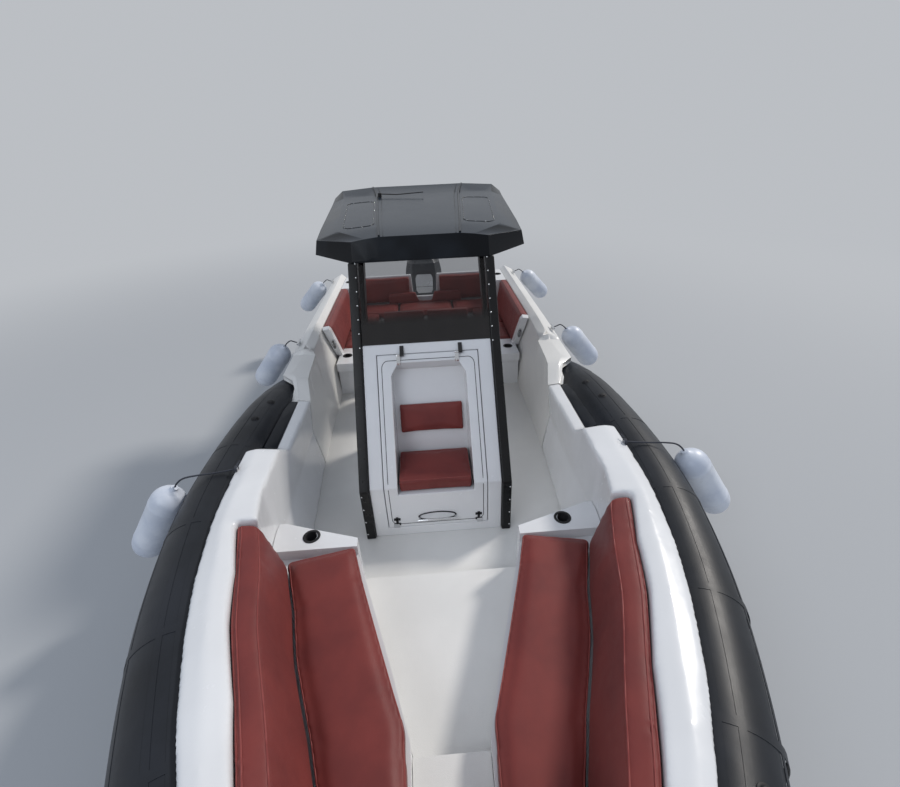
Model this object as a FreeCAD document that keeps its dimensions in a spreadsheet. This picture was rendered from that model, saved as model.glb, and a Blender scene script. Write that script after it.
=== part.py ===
import FreeCAD, Part
import Sketcher
import math
import os

# Rigid inflatable boat with a centre console, hardtop and one outboard motor.
# Millimetres. +X forward, +Y port, +Z up. The origin lies on the waterline, on the centre plane,
# below the after edge of the cockpit moulding. Port pieces are drawn and starboard ones mirrored.

Vec = FreeCAD.Vector
doc = FreeCAD.newDocument("rigid_inflatable_boat")
sheet = doc.addObject("Spreadsheet::Sheet", "sizes")

# Columns: name, millimetres or plain number, note.
sizeTable = [
    ("soleTop", 250, "cockpit sole above the waterline"),
    ("soleThick", 30, "thickness of the sole panel"),
    ("sternX", -700, "after face of the hull, where the motor hangs"),
    ("bowFloorX", 5400, "after edge of the raised bow floor"),
    ("bowFloorRise", 150, "bow floor above the sole"),
    ("bowStepX", 6580, "riser of the second step in the bow"),
    ("bowStepRise", 325, "second step above the sole"),
    ("bowDeckX", 7050, "after edge of the foredeck"),
    ("bowDeckTop", 1240, "foredeck above the waterline"),
    ("bowDeckLip", 45, "thickness of the foredeck's overhanging lip"),
    ("tubeFlat", 0.72, "share of the tube's radius at which its bonded face lies"),
    ("deckLip", 30, "thickness of the deck's overhanging lip"),
    ("tubeGap", 4, "gap between the deck's lip and the tube"),
    ("hullWall", 45, "thickness of the hull's side beside the liner"),
    ("wellHalf", 330, "half width of the motor well"),
    ("wellFloor", 60, "floor of the motor well above the waterline"),
    ("transomThick", 60, "thickness of the board that carries the motor"),
    ("transomTop", 350, "top of that board above the waterline"),
    ("platformTop", 300, "top of the bathing platforms"),
    ("platformThick", 30, "thickness of the platform pads"),
    ("platformOut", 1215, "outer edge of the platforms from the centre plane"),
    ("bulkheadThick", 60, "thickness of the after bulkhead"),
    ("bulkheadTop", 1115, "top of the after bulkhead"),
    ("notchHalf", 210, "half width of the bulkhead's notch for the motor"),
    ("notchFoot", 750, "foot of that notch"),
    ("seatHeight", 350, "after seat base above the sole"),
    ("seatPad", 100, "thickness of the seat cushions"),
    ("thwartFront", 650, "front edge of the after thwart"),
    ("benchFront", 1950, "after edge of the ledge at the front of the side benches"),
    ("benchEnd", 2420, "front edge of that ledge"),
    ("benchRecess", 60, "how far the front of the benches lies behind the ledge"),
    ("benchIn", 720, "inner face of the side benches from the centre plane"),
    ("helmSeatHeight", 660, "helm seat base above the sole"),
    ("helmBackTop", 1060, "top of the helm backrest above the sole"),
    ("consoleHalf", 518, "half width of the console"),
    ("consoleFootX", 4840, "front of the console at the sole"),
    ("consoleKnee", 500, "height above the sole where the front starts to lean"),
    ("consoleTopX", 4170, "front upper edge of the console"),
    ("consoleTop", 1420, "that edge above the sole"),
    ("consoleAftX", 3450, "after face of the console"),
    ("consoleAftTop", 1040, "top of the after face above the sole"),
    ("dashX", 4030, "after end of the console's flat top"),
    ("consoleWall", 30, "wall of the console"),
    ("doorHalf", 405, "half width of the console door"),
    ("doorFoot", 90, "foot of the door above the sole"),
    ("doorTop", 1350, "top of the door above the sole"),
    ("doorGap", 5, "gap round the door"),
    ("doorThick", 28, "thickness of the door panel"),
    ("nicheHalf", 300, "half width of the seat niche in the door"),
    ("nicheTop", 1300, "top of the niche above the sole"),
    ("nicheSeat", 430, "floor of the niche above the sole"),
    ("nicheDeep", 4410, "back of the niche at its floor"),
    ("nicheDeepTop", 4170, "back of the niche near its top"),
    ("nicheWall", 15, "wall of the niche tub"),
    ("legIn", 520, "inner face of the hardtop legs from the centre plane"),
    ("legThick", 74, "thickness of the hardtop legs"),
    ("legProud", 26, "how far the legs stand in front of the console"),
    ("roofFoot", 2000, "lower front edge of the hardtop above the sole"),
    ("screenThick", 8, "thickness of the windscreen"),
    ("cupRadius", 60, "outer radius of a cup holder's rim"),
    ("cupBore", 42, "inner radius of a cup holder"),
    ("cupDepth", 85, "depth of a cup holder"),
    ("cupWall", 4, "wall of a cup holder"),
    ("cupRim", 4, "thickness of a cup holder's rim"),
    ("fenderRadius", 120, "radius of a fender"),
    ("fenderSpan", 380, "distance between the centres of a fender's round ends"),
    ("lineRadius", 6, "radius of a fender line"),
    ("eyeBore", 13, "radius of the hole in a towing eye"),
    ("eyePlate", 16, "thickness of a towing eye"),
    ("eyeReach", 38, "outer radius of a towing eye"),
    ("lidGap", 5, "gap round the anchor locker's lid"),
    ("lockerAftX", 7250, "after edge of the anchor locker"),
    ("lockerFrontX", 7640, "front edge of the anchor locker"),
    ("lockerHalf", 190, "half width of the anchor locker"),
    ("lockerDeep", 320, "depth of the anchor locker below the foredeck"),
    ("lidThick", 25, "thickness of the locker's lid"),
    ("tiltX", -690, "tilt axis of the motor"),
    ("tiltHeight", 405, "tilt axis above the waterline"),
    ("steerX", -830, "steering axis of the motor"),
    ("shaftZ", -560, "propeller shaft above the waterline"),
    ("propRadius", 190, "radius of the propeller"),
    ("wheelX", 3330, "centre of the steering wheel"),
    ("wheelHeight", 1010, "centre of the steering wheel above the sole"),
    ("wheelSide", -230, "centre of the steering wheel from the centre plane"),
    ("wheelRadius", 175, "radius of the steering wheel's rim"),
    ("wheelRake", 35, "lean of the steering column from the level, in degrees"),
]


class Size:
    """A number together with the sheet formula that it comes from."""

    def __init__(self, value, formula):
        self.value = float(value)
        self.formula = formula

    def __add__(self, other):
        return Size(self.value + num(other), "(%s + %s)" % (self.formula, text(other)))

    def __sub__(self, other):
        return Size(self.value - num(other), "(%s - %s)" % (self.formula, text(other)))

    def __mul__(self, other):
        return Size(self.value * num(other), "(%s * %s)" % (self.formula, text(other)))

    def __truediv__(self, other):
        return Size(self.value / num(other), "(%s / %s)" % (self.formula, text(other)))

    def __radd__(self, other):
        return Size(num(other) + self.value, "(%s + %s)" % (text(other), self.formula))

    def __rsub__(self, other):
        return Size(num(other) - self.value, "(%s - %s)" % (text(other), self.formula))

    def __rmul__(self, other):
        return Size(num(other) * self.value, "(%s * %s)" % (text(other), self.formula))

    def __neg__(self):
        return Size(-self.value, "(0 - %s)" % self.formula)

    def __float__(self):
        return self.value


def num(x):
    return x.value if isinstance(x, Size) else float(x)


def text(x):
    return x.formula if isinstance(x, Size) else "%.6f" % float(x)


class Sizes:
    """The sheet's values by name."""


s = Sizes()
for rowNumber, (alias, value, note) in enumerate(sizeTable, 1):
    sheet.set("A%d" % rowNumber, alias)
    sheet.set("B%d" % rowNumber, str(value))
    sheet.set("C%d" % rowNumber, note)
    sheet.setAlias("B%d" % rowNumber, alias)
    setattr(s, alias, Size(value, "sizes." + alias))
doc.recompute()

nodes = []


def keep(thing, label):
    """Give an object its node name and list it for writing."""
    thing.Label = label
    nodes.append(thing)
    return thing


# Building helpers

def planeOf(body, role):
    return [item for item in body.Origin.OriginFeatures if item.Role == role][0]


def sketchOn(body, role, points, offset=0):
    """A closed outline of straight edges on a plane, each corner tied to the sheet."""
    sketch = body.newObject("Sketcher::SketchObject", "Outline")
    sketch.AttachmentSupport = [(planeOf(body, role), "")]
    sketch.MapMode = "FlatFace"
    sketch.AttachmentOffset = FreeCAD.Placement(Vec(0, 0, num(offset)), FreeCAD.Rotation())
    if isinstance(offset, Size):
        sketch.setExpression("AttachmentOffset.Base.z", offset.formula)
    count = len(points)
    for i, (a, b) in enumerate(points):
        c, d = points[(i + 1) % count]
        sketch.addGeometry(Part.LineSegment(Vec(num(a), num(b), 0), Vec(num(c), num(d), 0)), False)
    for i in range(count):
        sketch.addConstraint(Sketcher.Constraint("Coincident", i, 2, (i + 1) % count, 1))
    for i, (a, b) in enumerate(points):
        for kind, place in (("DistanceX", a), ("DistanceY", b)):
            index = sketch.addConstraint(Sketcher.Constraint(kind, i, 1, num(place)))
            if isinstance(place, Size):
                sketch.setExpression("Constraints[%d]" % index, place.formula)
    return sketch


def setSize(feature, name, value):
    setattr(feature, name, num(value))
    if isinstance(value, Size):
        feature.setExpression(name, value.formula)


def padOn(body, role, points, length, offset=0, middle=False, kind="PartDesign::Pad"):
    sketch = sketchOn(body, role, points, offset)
    pad = body.newObject(kind, "Step")
    pad.Profile = sketch
    setSize(pad, "Length", length)
    pad.Midplane = middle
    return pad


def flatPiece(label, points, low, high):
    """A level plate: a plan outline between two heights."""
    body = keep(doc.addObject("PartDesign::Body", label), label)
    padOn(body, "XY_Plane", points, high - low, low)
    return body


def sidePiece(label, points, inner, outer):
    """An upright plate: a side outline (x, z) between two distances to port."""
    body = keep(doc.addObject("PartDesign::Body", label), label)
    padOn(body, "XZ_Plane", points, outer - inner, -outer)
    return body


def midPiece(label, points, width):
    """A side outline (x, z) that is as wide to port as to starboard."""
    body = keep(doc.addObject("PartDesign::Body", label), label)
    padOn(body, "XZ_Plane", points, width, 0, True)
    return body


def crossPiece(label, points, low, high):
    """An athwartship outline (y, z) between two stations."""
    body = keep(doc.addObject("PartDesign::Body", label), label)
    padOn(body, "YZ_Plane", points, high - low, low)
    return body


def formPiece(label, shape):
    """A piece whose form comes from Part's own functions."""
    item = doc.addObject("Part::Feature", label)
    if shape.ShapeType == "Compound" and len(shape.Solids) == 1:
        shape = shape.Solids[0]
    item.Shape = shape
    return keep(item, label)


def starboardOf(label, source):
    item = doc.addObject("Part::Mirroring", label)
    item.Source = source
    item.Normal = Vec(0, 1, 0)
    item.Base = Vec(0, 0, 0)
    return keep(item, label)


def loft(sections):
    """Straight-ruled solid through closed sections of straight edges."""
    wires = [Part.makePolygon([Vec(*p) for p in pts] + [Vec(*pts[0])]) for pts in sections]
    solid = Part.makeLoft(wires, True, True)
    if solid.Volume < 0:
        solid.reverse()
    return solid


def mirrorY(shape):
    return shape.mirror(Vec(0, 0, 0), Vec(0, 1, 0))


def boxBetween(low, high):
    return Part.makeBox(high[0] - low[0], high[1] - low[1], high[2] - low[2], Vec(*low))


def rodAlong(a, b, radius):
    a = Vec(*a)
    b = Vec(*b)
    return Part.makeCylinder(radius, (b - a).Length, a, b - a)


def fuseAll(shapes):
    whole = shapes[0]
    if len(shapes) > 1:
        whole = whole.multiFuse(shapes[1:])
    return whole.removeSplitter()


def between(table, x, column):
    """Straight interpolation in a table whose first column is x."""
    if x <= table[0][0]:
        return table[0][column]
    for a, b in zip(table, table[1:]):
        if x <= b[0]:
            t = (x - a[0]) / (b[0] - a[0])
            return a[column] + t * (b[column] - a[column])
    return table[-1][column]


sole = s.soleTop.value

# Tubes

# Columns: x, y and z of the tube's centre, its radius, and how far inside the centre the deck's edge lies.
tubeStations = [
    (2900, 1395, 790, 85, 0),
    (3450, 1450, 835, 195, 0),
    (4000, 1505, 860, 240, 150),
    (5100, 1525, 870, 250, 120),
    (5900, 1390, 880, 250, 90),
    (6600, 1150, 905, 245, 70),
    (7200, 855, 940, 235, 70),
    (7700, 515, 970, 222, 70),
    (8000, 215, 995, 212, 70),
    (8080, 0, 1000, 206, 70),
]


def unit(dx, dy):
    size = math.hypot(dx, dy)
    return dx / size, dy / size


def outwardAt(i):
    """Level direction away from the boat at a tube station."""
    before = tubeStations[max(i - 1, 0)]
    here = tubeStations[i]
    after = tubeStations[min(i + 1, len(tubeStations) - 1)]
    if i == len(tubeStations) - 1:
        return 1.0, 0.0
    ahead = unit(after[0] - here[0], after[1] - here[1])
    behind = unit(here[0] - before[0], here[1] - before[1]) if i else ahead
    dx, dy = unit(ahead[0] + behind[0], ahead[1] + behind[1])
    return -dy, dx


def tubeLine(inset):
    """Plan points (x, y) along the tube, inset from its centre by a function of the station."""
    line = []
    for i, station in enumerate(tubeStations):
        nx, ny = outwardAt(i)
        back = inset(station)
        line.append((station[0] - nx * back, station[1] - ny * back))
    return line


flat = s.tubeFlat.value
rise = math.sqrt(1 - flat * flat)
wallLine = tubeLine(lambda st: flat * st[3])
edgeLine = tubeLine(lambda st: st[4])
edgeUnder = [(p[0], st[2] + math.sqrt(st[3] ** 2 - st[4] ** 2) + s.tubeGap.value)
             for p, st in zip(edgeLine, tubeStations)]


def wallAt(x):
    return between(wallLine, x, 1)


def tubeSection(i):
    x, y, z, r, cover = tubeStations[i]
    nx, ny = outwardAt(i)

    def at(out, up):
        return Vec(x + nx * out, y + ny * out, z + up)

    low = at(-flat * r, -rise * r)
    high = at(-flat * r, rise * r)
    round_ = Part.Arc(low, at(r, 0), high).toShape()
    return Part.Wire([round_, Part.LineSegment(high, low).toShape()])


tubeShape = Part.makeLoft([tubeSection(i) for i in range(len(tubeStations))], True, True)
tubePort = formPiece("tube_port", tubeShape)
starboardOf("tube_starboard", tubePort)

# Hull

stemX = 7926.0
sweepX = 3600.0


def hullShapeAt(x):
    """Keel height, chine half width and chine height: straight aft, swept up to the stem forward."""
    t = max(0.0, (x - sweepX) / (stemX - sweepX))
    keel = -470 + 990 * t ** 2.7
    chine = 1150 - 1142 * t ** 2.1
    chineUp = -30 + 660 * t ** 1.9
    return keel, chine, chineUp


shelfTable = [(-700, 660), (5087, 660), (5856, 670), (6532, 700), (7115, 740), (7598, 780), (7872, 812)]
chineFlat = 35


def shelfAt(x):
    return between(shelfTable, x, 1)


def chineOutAt(x):
    chine = hullShapeAt(x)[1]
    return chine + chineFlat * min(1, chine / 400)


def sideAt(x, z):
    """Half width of the hull's outside at a height between the chine and the shelf."""
    chineUp = hullShapeAt(x)[2] - 4
    share = (z - chineUp) / (shelfAt(x) - chineUp)
    return chineOutAt(x) + (wallAt(x) - chineOutAt(x)) * share


# Lifting strakes: shares of the way from the keel to the chine, and the width of each ledge
strakeShares = [0.38, 0.70]
strakeWide = 42


def hullSection(x):
    keel, chine, chineUp = hullShapeAt(x)
    bottomRise = (chineUp - keel) / chine
    wide = strakeWide * min(1, chine / 600)
    port = []
    for share in strakeShares:
        y = share * chine
        low = keel + bottomRise * (y - wide)
        port += [(y - wide, low), (y, low), (y + 0.5, keel + bottomRise * (y + 0.5))]
    port += [(chine, chineUp), (chineOutAt(x), chineUp - 4), (wallAt(x), shelfAt(x))]
    points = [(x, 0, keel)]
    points += [(x, y, z) for y, z in port]
    points += [(x, -y, z) for y, z in reversed(port)]
    return points


wallXs = [x for x, y in wallLine]
hullStations = [s.sternX.value, 0] + wallXs[:3] + [4550, wallXs[3], 5470, wallXs[4], 6200, wallXs[5], 6830,
                                                   wallXs[6], 7360, wallXs[7], 7740, wallXs[8], stemX]
hullShape = loft([hullSection(x) for x in hullStations])
wallInset = s.hullWall.value
linerFloor = sole - s.soleThick.value
bowFloorTop = sole + s.bowFloorRise.value
stepTop = sole + s.bowStepRise.value
openTop = 2000


def linerAt(x, z):
    """Half width inside the hull's side."""
    return sideAt(x, z) - wallInset


def cavity(xs, floor, inset):
    """Hollow of the hull above a floor, with walls as thick as the hull's side and an inset more."""
    sections = []
    for x in xs:
        a = linerAt(x, floor) - inset
        b = linerAt(x, openTop) - inset
        sections.append([(x, -a, floor), (x, a, floor), (x, b, openTop), (x, -b, openTop)])
    return loft(sections)


def stationsBetween(low, high):
    return [low] + [x for x in hullStations if low < x < high] + [high]


floorX = s.bowFloorX.value
stepX = s.bowStepX.value
foreX = s.bowDeckX.value
plate = s.soleThick.value
shell = hullShape.cut(cavity(stationsBetween(0, floorX), linerFloor, 0))
shell = shell.cut(cavity(stationsBetween(floorX - 1, stepX), bowFloorTop - plate, 1))
shell = shell.cut(cavity(stationsBetween(stepX - 1, foreX), stepTop - plate, 2))
platformSeat = s.platformTop.value - s.platformThick.value
shell = shell.cut(boxBetween((s.sternX.value - 10, -1500, platformSeat), (0, 1500, openTop)))
well = s.wellHalf.value
boardX = s.sternX.value + s.transomThick.value
shell = shell.cut(boxBetween((boardX, -well, s.wellFloor.value), (0, well, openTop)))
motorBoard = boxBetween((s.sternX.value, -well - 40, 0), (boardX, well + 40, s.transomTop.value))
formPiece("hull", shell.fuse(motorBoard).removeSplitter())


# Sole and bow floor

def prismOf(plan, low, high):
    face = Part.Face(Part.makePolygon([Vec(x, y, low) for x, y in plan] + [Vec(plan[0][0], plan[0][1], low)]))
    return face.extrude(Vec(0, 0, high - low))


def twoSided(line):
    """A plan outline from its port edge."""
    return line + [(x, -y) for x, y in reversed(line)]


soleEdge = [(x, linerAt(x, linerFloor) - 1) for x in stationsBetween(2, floorX - 1)]
formPiece("sole", prismOf(twoSided(soleEdge), linerFloor, sole))

# Half widths of the bow floor: at its after edge, at the bend, at the second step and in the slot ahead
mouthHalf = 548
kneeX = 6500
kneeHalf = 190
stepHalf = 186
slotHalf = 170
riser = s.soleThick
floorPlan = [(s.bowFloorX - riser, -mouthHalf), (s.bowFloorX, -mouthHalf), (kneeX, -kneeHalf),
             (s.bowStepX, -stepHalf - 1), (s.bowStepX, stepHalf + 1), (kneeX, kneeHalf),
             (s.bowFloorX, mouthHalf), (s.bowFloorX - riser, mouthHalf)]
bowFloor = flatPiece("bow_floor", floorPlan, s.soleTop + s.bowFloorRise - riser, s.soleTop + s.bowFloorRise)
aftRiser = [(s.bowFloorX - riser, -mouthHalf), (s.bowFloorX - 0.3, -mouthHalf),
            (s.bowFloorX - 0.3, mouthHalf), (s.bowFloorX - riser, mouthHalf)]
padOn(bowFloor, "XY_Plane", aftRiser, s.bowFloorRise, s.soleTop)
stepRiser = [(s.bowStepX - riser, -stepHalf), (s.bowStepX, -stepHalf), (s.bowStepX, stepHalf),
             (s.bowStepX - riser, stepHalf)]
padOn(bowFloor, "XY_Plane", stepRiser, s.bowStepRise - s.bowFloorRise, s.soleTop + s.bowFloorRise)
stepPlan = [(s.bowStepX - 0.5, -stepHalf), (s.bowDeckX, -slotHalf), (s.bowDeckX, slotHalf),
            (s.bowStepX - 0.5, stepHalf)]
padOn(bowFloor, "XY_Plane", stepPlan, riser, s.soleTop + s.bowStepRise - riser)

# Deck and cockpit sides

# Bow backrests. Columns: x, outer edge, ridge and foot from the centre plane.
backrestStations = [
    (5490, 1200, 1070, 985),
    (6170, 1010, 885, 790),
    (6880, 745, 625, 525),
    (7045, 678, 560, 462),
]

# Deck rows. Columns: x, then distances from the centre plane of the wall's foot, its crease, the inner
# edge, the ridge and the outer edge, then heights above the sole of the inner edge, the ridge and the
# outer edge, then the height of the lip's underside. None follows the tube or the backrest.
deckRows = [
    (0, 1140, 1170, 1270, 1335, 1460, 870, 925, 860, 795),
    (2330, 1140, 1170, 1270, 1335, 1460, 870, 925, 860, 795),
    (2906, 1135, 1170, 1238, 1335, 1458, 863, 916, 855, 795),
    (2960, 1135, 1170, 1235, 1335, 1458, 862, 915, 855, 795),
    (2990, 1135, 1170, 1215, 1340, 1455, 852, 862, 850, 795),
    (3440, 1125, 1170, 1190, 1340, 1450, 855, 870, 850, 795),
    (3464, 1125, 1170, 1188, 1330, 1426, 855, 870, 850, 795),
    (3560, 1120, 1168, 1180, 1290, 1330, 850, 865, 845, 795),
    (3790, 1110, 1165, 1130, 1238, 1250, 745, 752, 745, 705),
    (4010, 1095, 1160, 1130, 1238, 1250, 745, 752, 745, 705),
    (4560, 1060, 1145, 1145, 1240, 1255, 745, 752, 745, 705),
    (4720, 1050, 1140, 1158, 1330, 1408, 865, 885, 872, 842),
    (5087, 1040, 1135, 1140, 1300, None, 890, 905, None, None),
    (5220, 1035, 1130, 1128, 1290, None, 900, 915, None, None),
    (5396, 1032, 1111, 1092, 1275, None, 903, 918, None, None),
    (5399.5, 1032, 1111, 1092, 1275, None, 903, 918, None, None),
    (5480, 1030, 1100, 1075, 1268, None, 905, 920, None, None),
    (5492, None, None, None, 1266, None, 905, 920, None, None),
    (5856, None, None, None, 1190, None, 915, 930, None, None),
    (6170, None, None, None, 1100, None, 922, 938, None, None),
    (6532, None, None, None, 985, None, 930, 946, None, None),
    (6880, None, None, None, 850, None, 938, 955, None, None),
    (7048, None, None, None, 770, None, 942, 960, None, None),
]


def deepAt(x, z, foot):
    """Where the deck moulding ends beside the hull's liner."""
    return max(linerAt(x, z) - 18, foot + 1.5)


def deckSection(row):
    x, foot, crease, inner, ridge, edge, zInner, zRidge, zEdge, zUnder = row
    low = sole + 0.3
    creaseUp = sole + 400
    if inner is not None and x > s.bowFloorX.value - 1:
        low = bowFloorTop - s.soleThick.value + 0.3
        foot += (crease - foot) * (low - sole) / 400
    if inner is None:
        foot = crease = inner = between(backrestStations, x, 1) + 1
        low = max(650, shelfAt(x) - 15)
        creaseUp = low + 40
    if edge is None:
        edge = between(edgeLine, x, 1)
        zUnder = between(edgeUnder, x, 1) - sole
        zEdge = zUnder + s.deckLip.value
    wall = wallAt(x)
    shelf = shelfAt(x) + 0.3
    ring = [(foot, low), (crease, creaseUp), (inner, sole + zInner), (ridge, sole + zRidge),
            (edge, sole + zEdge), (edge, sole + zUnder), (wall, sole + zUnder), (wall, shelf),
            (deepAt(x, shelf, foot), shelf), (deepAt(x, low, foot), low)]
    return [(x, y, z) for y, z in ring]


splitX = 3790
sideDeck = formPiece("side_deck_port", loft([deckSection(r) for r in deckRows if r[0] <= splitX]))
starboardOf("side_deck_starboard", sideDeck)
coaming = formPiece("coaming_port", loft([deckSection(r) for r in deckRows if r[0] >= splitX]))
starboardOf("coaming_starboard", coaming)


def apronSection(x):
    """Rubber apron that fills the notch between the narrow coaming and the tube."""
    edge = between(deckRows, x, 5) + 0.3
    under = sole + between(deckRows, x, 9) + 0.3
    wall = wallAt(x)
    centre = between([(w[0], st[2] + rise * st[3]) for w, st in zip(wallLine, tubeStations)], x, 1)
    return [(x, edge, under), (x, edge, sole + between(deckRows, x, 8) - 4), (x, wall - 0.3, centre - 6),
            (x, wall - 0.3, under)]


apron = loft([apronSection(x) for x in (3795, 4010, 4555)])
formPiece("tube_aprons", Part.makeCompound([apron, mirrorY(apron)]))

# Foredeck with its anchor locker
lipLine = [(foreX, between(edgeLine, foreX, 1))] + edgeLine[6:]
deckTop = s.bowDeckTop.value
lipLow = deckTop - s.bowDeckLip.value
webXs = stationsBetween(foreX, stemX)
web = loft([[(x, -wallAt(x), shelfAt(x) + 0.3), (x, wallAt(x), shelfAt(x) + 0.3), (x, wallAt(x), lipLow),
             (x, -wallAt(x), lipLow)] for x in webXs])
lip = prismOf(lipLine + [(x, -y) for x, y in reversed(lipLine[:-1])], lipLow, deckTop)
lockerLow = (s.lockerAftX.value, -s.lockerHalf.value, deckTop - s.lockerDeep.value)
lockerHigh = (s.lockerFrontX.value, s.lockerHalf.value, deckTop + 10)
foredeck = web.fuse(lip).removeSplitter().cut(boxBetween(lockerLow, lockerHigh))
formPiece("bow_deck", foredeck)

lidAft = s.lockerAftX + s.lidGap
lidFront = s.lockerFrontX - s.lidGap
lidHalf = s.lockerHalf - s.lidGap
lidPlan = [(lidAft, -lidHalf), (lidFront, -lidHalf), (lidFront, lidHalf), (lidAft, lidHalf)]
anchorLid = flatPiece("anchor_lid", lidPlan, s.bowDeckTop - s.lidThick, s.bowDeckTop)

doc.recompute()


# Helpers for pieces that come in pairs

def pairOf(label, source):
    """One node that holds a port piece and its mirror image."""
    nodes.remove(source)
    source.Label = label + "_half"
    image = doc.addObject("Part::Mirroring", label + "_image")
    image.Source = source
    image.Normal = Vec(0, 1, 0)
    both = doc.addObject("Part::Compound", label)
    both.Links = [source, image]
    return keep(both, label)


def bothSides(label, shape):
    return formPiece(label, Part.makeCompound([shape, mirrorY(shape)]))


def pocketIn(body, role, points, length, offset=0, middle=False):
    return padOn(body, role, points, length, offset, middle, "PartDesign::Pocket")


def slab(a, b, c, d, low, high):
    """Level box as a prism: x from a to b, y from c to d."""
    return boxBetween((a, c, low), (b, d, high))


# Stern

platformLow = s.platformTop - s.platformThick + 0.3
platformIn = s.wellHalf + 42.3
platformOut = s.platformOut
platformPlan = [(s.sternX, platformIn), (-2, platformIn), (-2, platformOut), (s.sternX + 150, platformOut),
                (s.sternX, platformOut - 150)]
platform = flatPiece("swim_platform", platformPlan, platformLow, s.platformTop)
pairOf("swim_platforms", platform)

top = s.bulkheadTop
bulkheadOutline = [(-1139, s.soleTop + 0.3), (1139, s.soleTop + 0.3), (1168, s.soleTop + 400), (1266, top),
                   (s.notchHalf, top), (s.notchHalf - 20, s.notchFoot), (-s.notchHalf + 20, s.notchFoot),
                   (-s.notchHalf, top), (-1266, top), (-1168, s.soleTop + 400)]
bulkhead = crossPiece("aft_bulkhead", bulkheadOutline, 0.3, s.bulkheadThick)

seatTop = sole + s.seatHeight.value
padTop = seatTop + s.seatPad.value
seatAft = s.bulkheadThick.value + 0.3
thwartX = s.thwartFront.value
benchOut = 1137
benchToe = s.benchEnd.value - s.benchRecess.value
base = slab(seatAft, thwartX, -benchOut, benchOut, sole + 0.3, seatTop)
for side in (1, -1):
    y1, y2 = sorted((side * s.benchIn.value, side * benchOut))
    base = base.fuse(slab(thwartX - 1, benchToe, y1, y2, sole + 0.3, seatTop))
    base = base.fuse(slab(s.benchFront.value, s.benchEnd.value, y1, y2, seatTop - 1, padTop))

cornerSection = [(1102, padTop), (1102, sole + 870), (1264, sole + 870), (1179, padTop)]
lowerSection = [(1102, seatTop - 1), (1102, padTop), (1179, padTop), (1167, sole + 400),
                (benchOut, seatTop - 1)]
corner = loft([[(x, y, z) for y, z in cornerSection] for x in (seatAft, thwartX - 5)])
corner = corner.fuse(loft([[(x, y, z) for y, z in lowerSection] for x in (seatAft, thwartX - 5)]))


def leaning(section, foot, lean):
    """Places a (y, height above the sole) section so that it leans forward from the seat up."""
    return [(foot + lean * (z - 450), y, sole + z) for y, z in section]


backSection = [(1092, 450.3), (1162, 850), (1186, 893), (1262, 885), (1177, 450.3)]
endSection = [(1090, 449), (1160, 850), (1184, 893), (1264, 880), (1178, 449)]
tipSection = [(1098, 449), (1158, 838), (1178, 878), (1250, 866), (1172, 449)]
backLean = 0.41
backEnd = 2070
tipEnd = 2150
wedge = loft([leaning(endSection, backEnd + 0.3, backLean), leaning(tipSection, tipEnd, backLean)])
ends = corner.fuse(wedge)
base = base.fuse(ends).fuse(mirrorY(ends))

# Columns: x, y and z of a cup holder's rim, each with its mirror image.
cupTable = [
    (300, 1178, sole + 870),
    (2180, 1030, padTop),
    (5270, 877, 750),
]
cupR = s.cupBore.value + s.cupWall.value


def cupHoles(shape):
    for x, y, z in cupTable:
        for side in (1, -1):
            foot = Vec(x, side * y, z - s.cupDepth.value - 10)
            shape = shape.cut(Part.makeCylinder(cupR + 0.3, s.cupDepth.value + 20, foot))
    return shape


formPiece("aft_seat_base", cupHoles(base.removeSplitter()))

padAft = 191
padLow = seatTop + 0.3
middleHalf = 426
aftPads = [slab(padAft, thwartX - 2, -middleHalf, middleHalf, padLow, padTop)]
for low, high in ((middleHalf + 8, 1098), (-1098, -middleHalf - 8)):
    aftPads.append(slab(padAft, thwartX - 2, low, high, padLow, padTop))
formPiece("aft_cushion", Part.makeCompound(aftPads))
padSplit = (thwartX + s.benchFront.value) / 2 + 1
benchPads = []
for low, high in ((thwartX + 6, padSplit - 3), (padSplit + 3, s.benchFront.value - 6)):
    benchPads.append(slab(low, high, s.benchIn.value + 2, benchOut - 3, padLow, padTop))
bothSides("side_cushions", Part.makeCompound(benchPads))
sideBack = loft([leaning(backSection, thwartX, 0), leaning(backSection, backEnd - 0.5, backLean)])
bothSides("side_backrests", sideBack)

# Loudspeakers on the leaning ends of the side seats
slopeLength = math.hypot(1, backLean)
faceOut = Vec(1 / slopeLength, 0, -backLean / slopeLength)
faceUp = Vec(backLean / slopeLength, 0, 1 / slopeLength)
speakerUp = 640
speakerTall = 150
speakerWide = 60
speakerThick = 10
speakerAt = Vec(tipEnd + backLean * (speakerUp - 450), 1166, sole + speakerUp) + faceOut * 0.3
oval = Part.Ellipse(speakerAt + faceUp * (speakerTall / 2), speakerAt + Vec(0, speakerWide / 2, 0), speakerAt)
bothSides("speakers", Part.Face(Part.Wire([oval.toShape()])).extrude(faceOut * speakerThick))

backPad = crossPiece("transom_backrest", [(236, padTop + 0.3), (1096, padTop + 0.3), (1096, sole + 862),
                                          (240, sole + 862)], s.bulkheadThick + 0.3, 188)
pairOf("transom_backrests", backPad)
bolster = crossPiece("centre_backrest", [(-600, padTop + 0.3), (600, padTop + 0.3), (600, sole + 590),
                                         (555, sole + 630), (150, sole + 630), (100, padTop + 25),
                                         (-100, padTop + 25), (-150, sole + 630), (-555, sole + 630),
                                         (-600, sole + 590)], 191, 262)

# Bow seats

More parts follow.
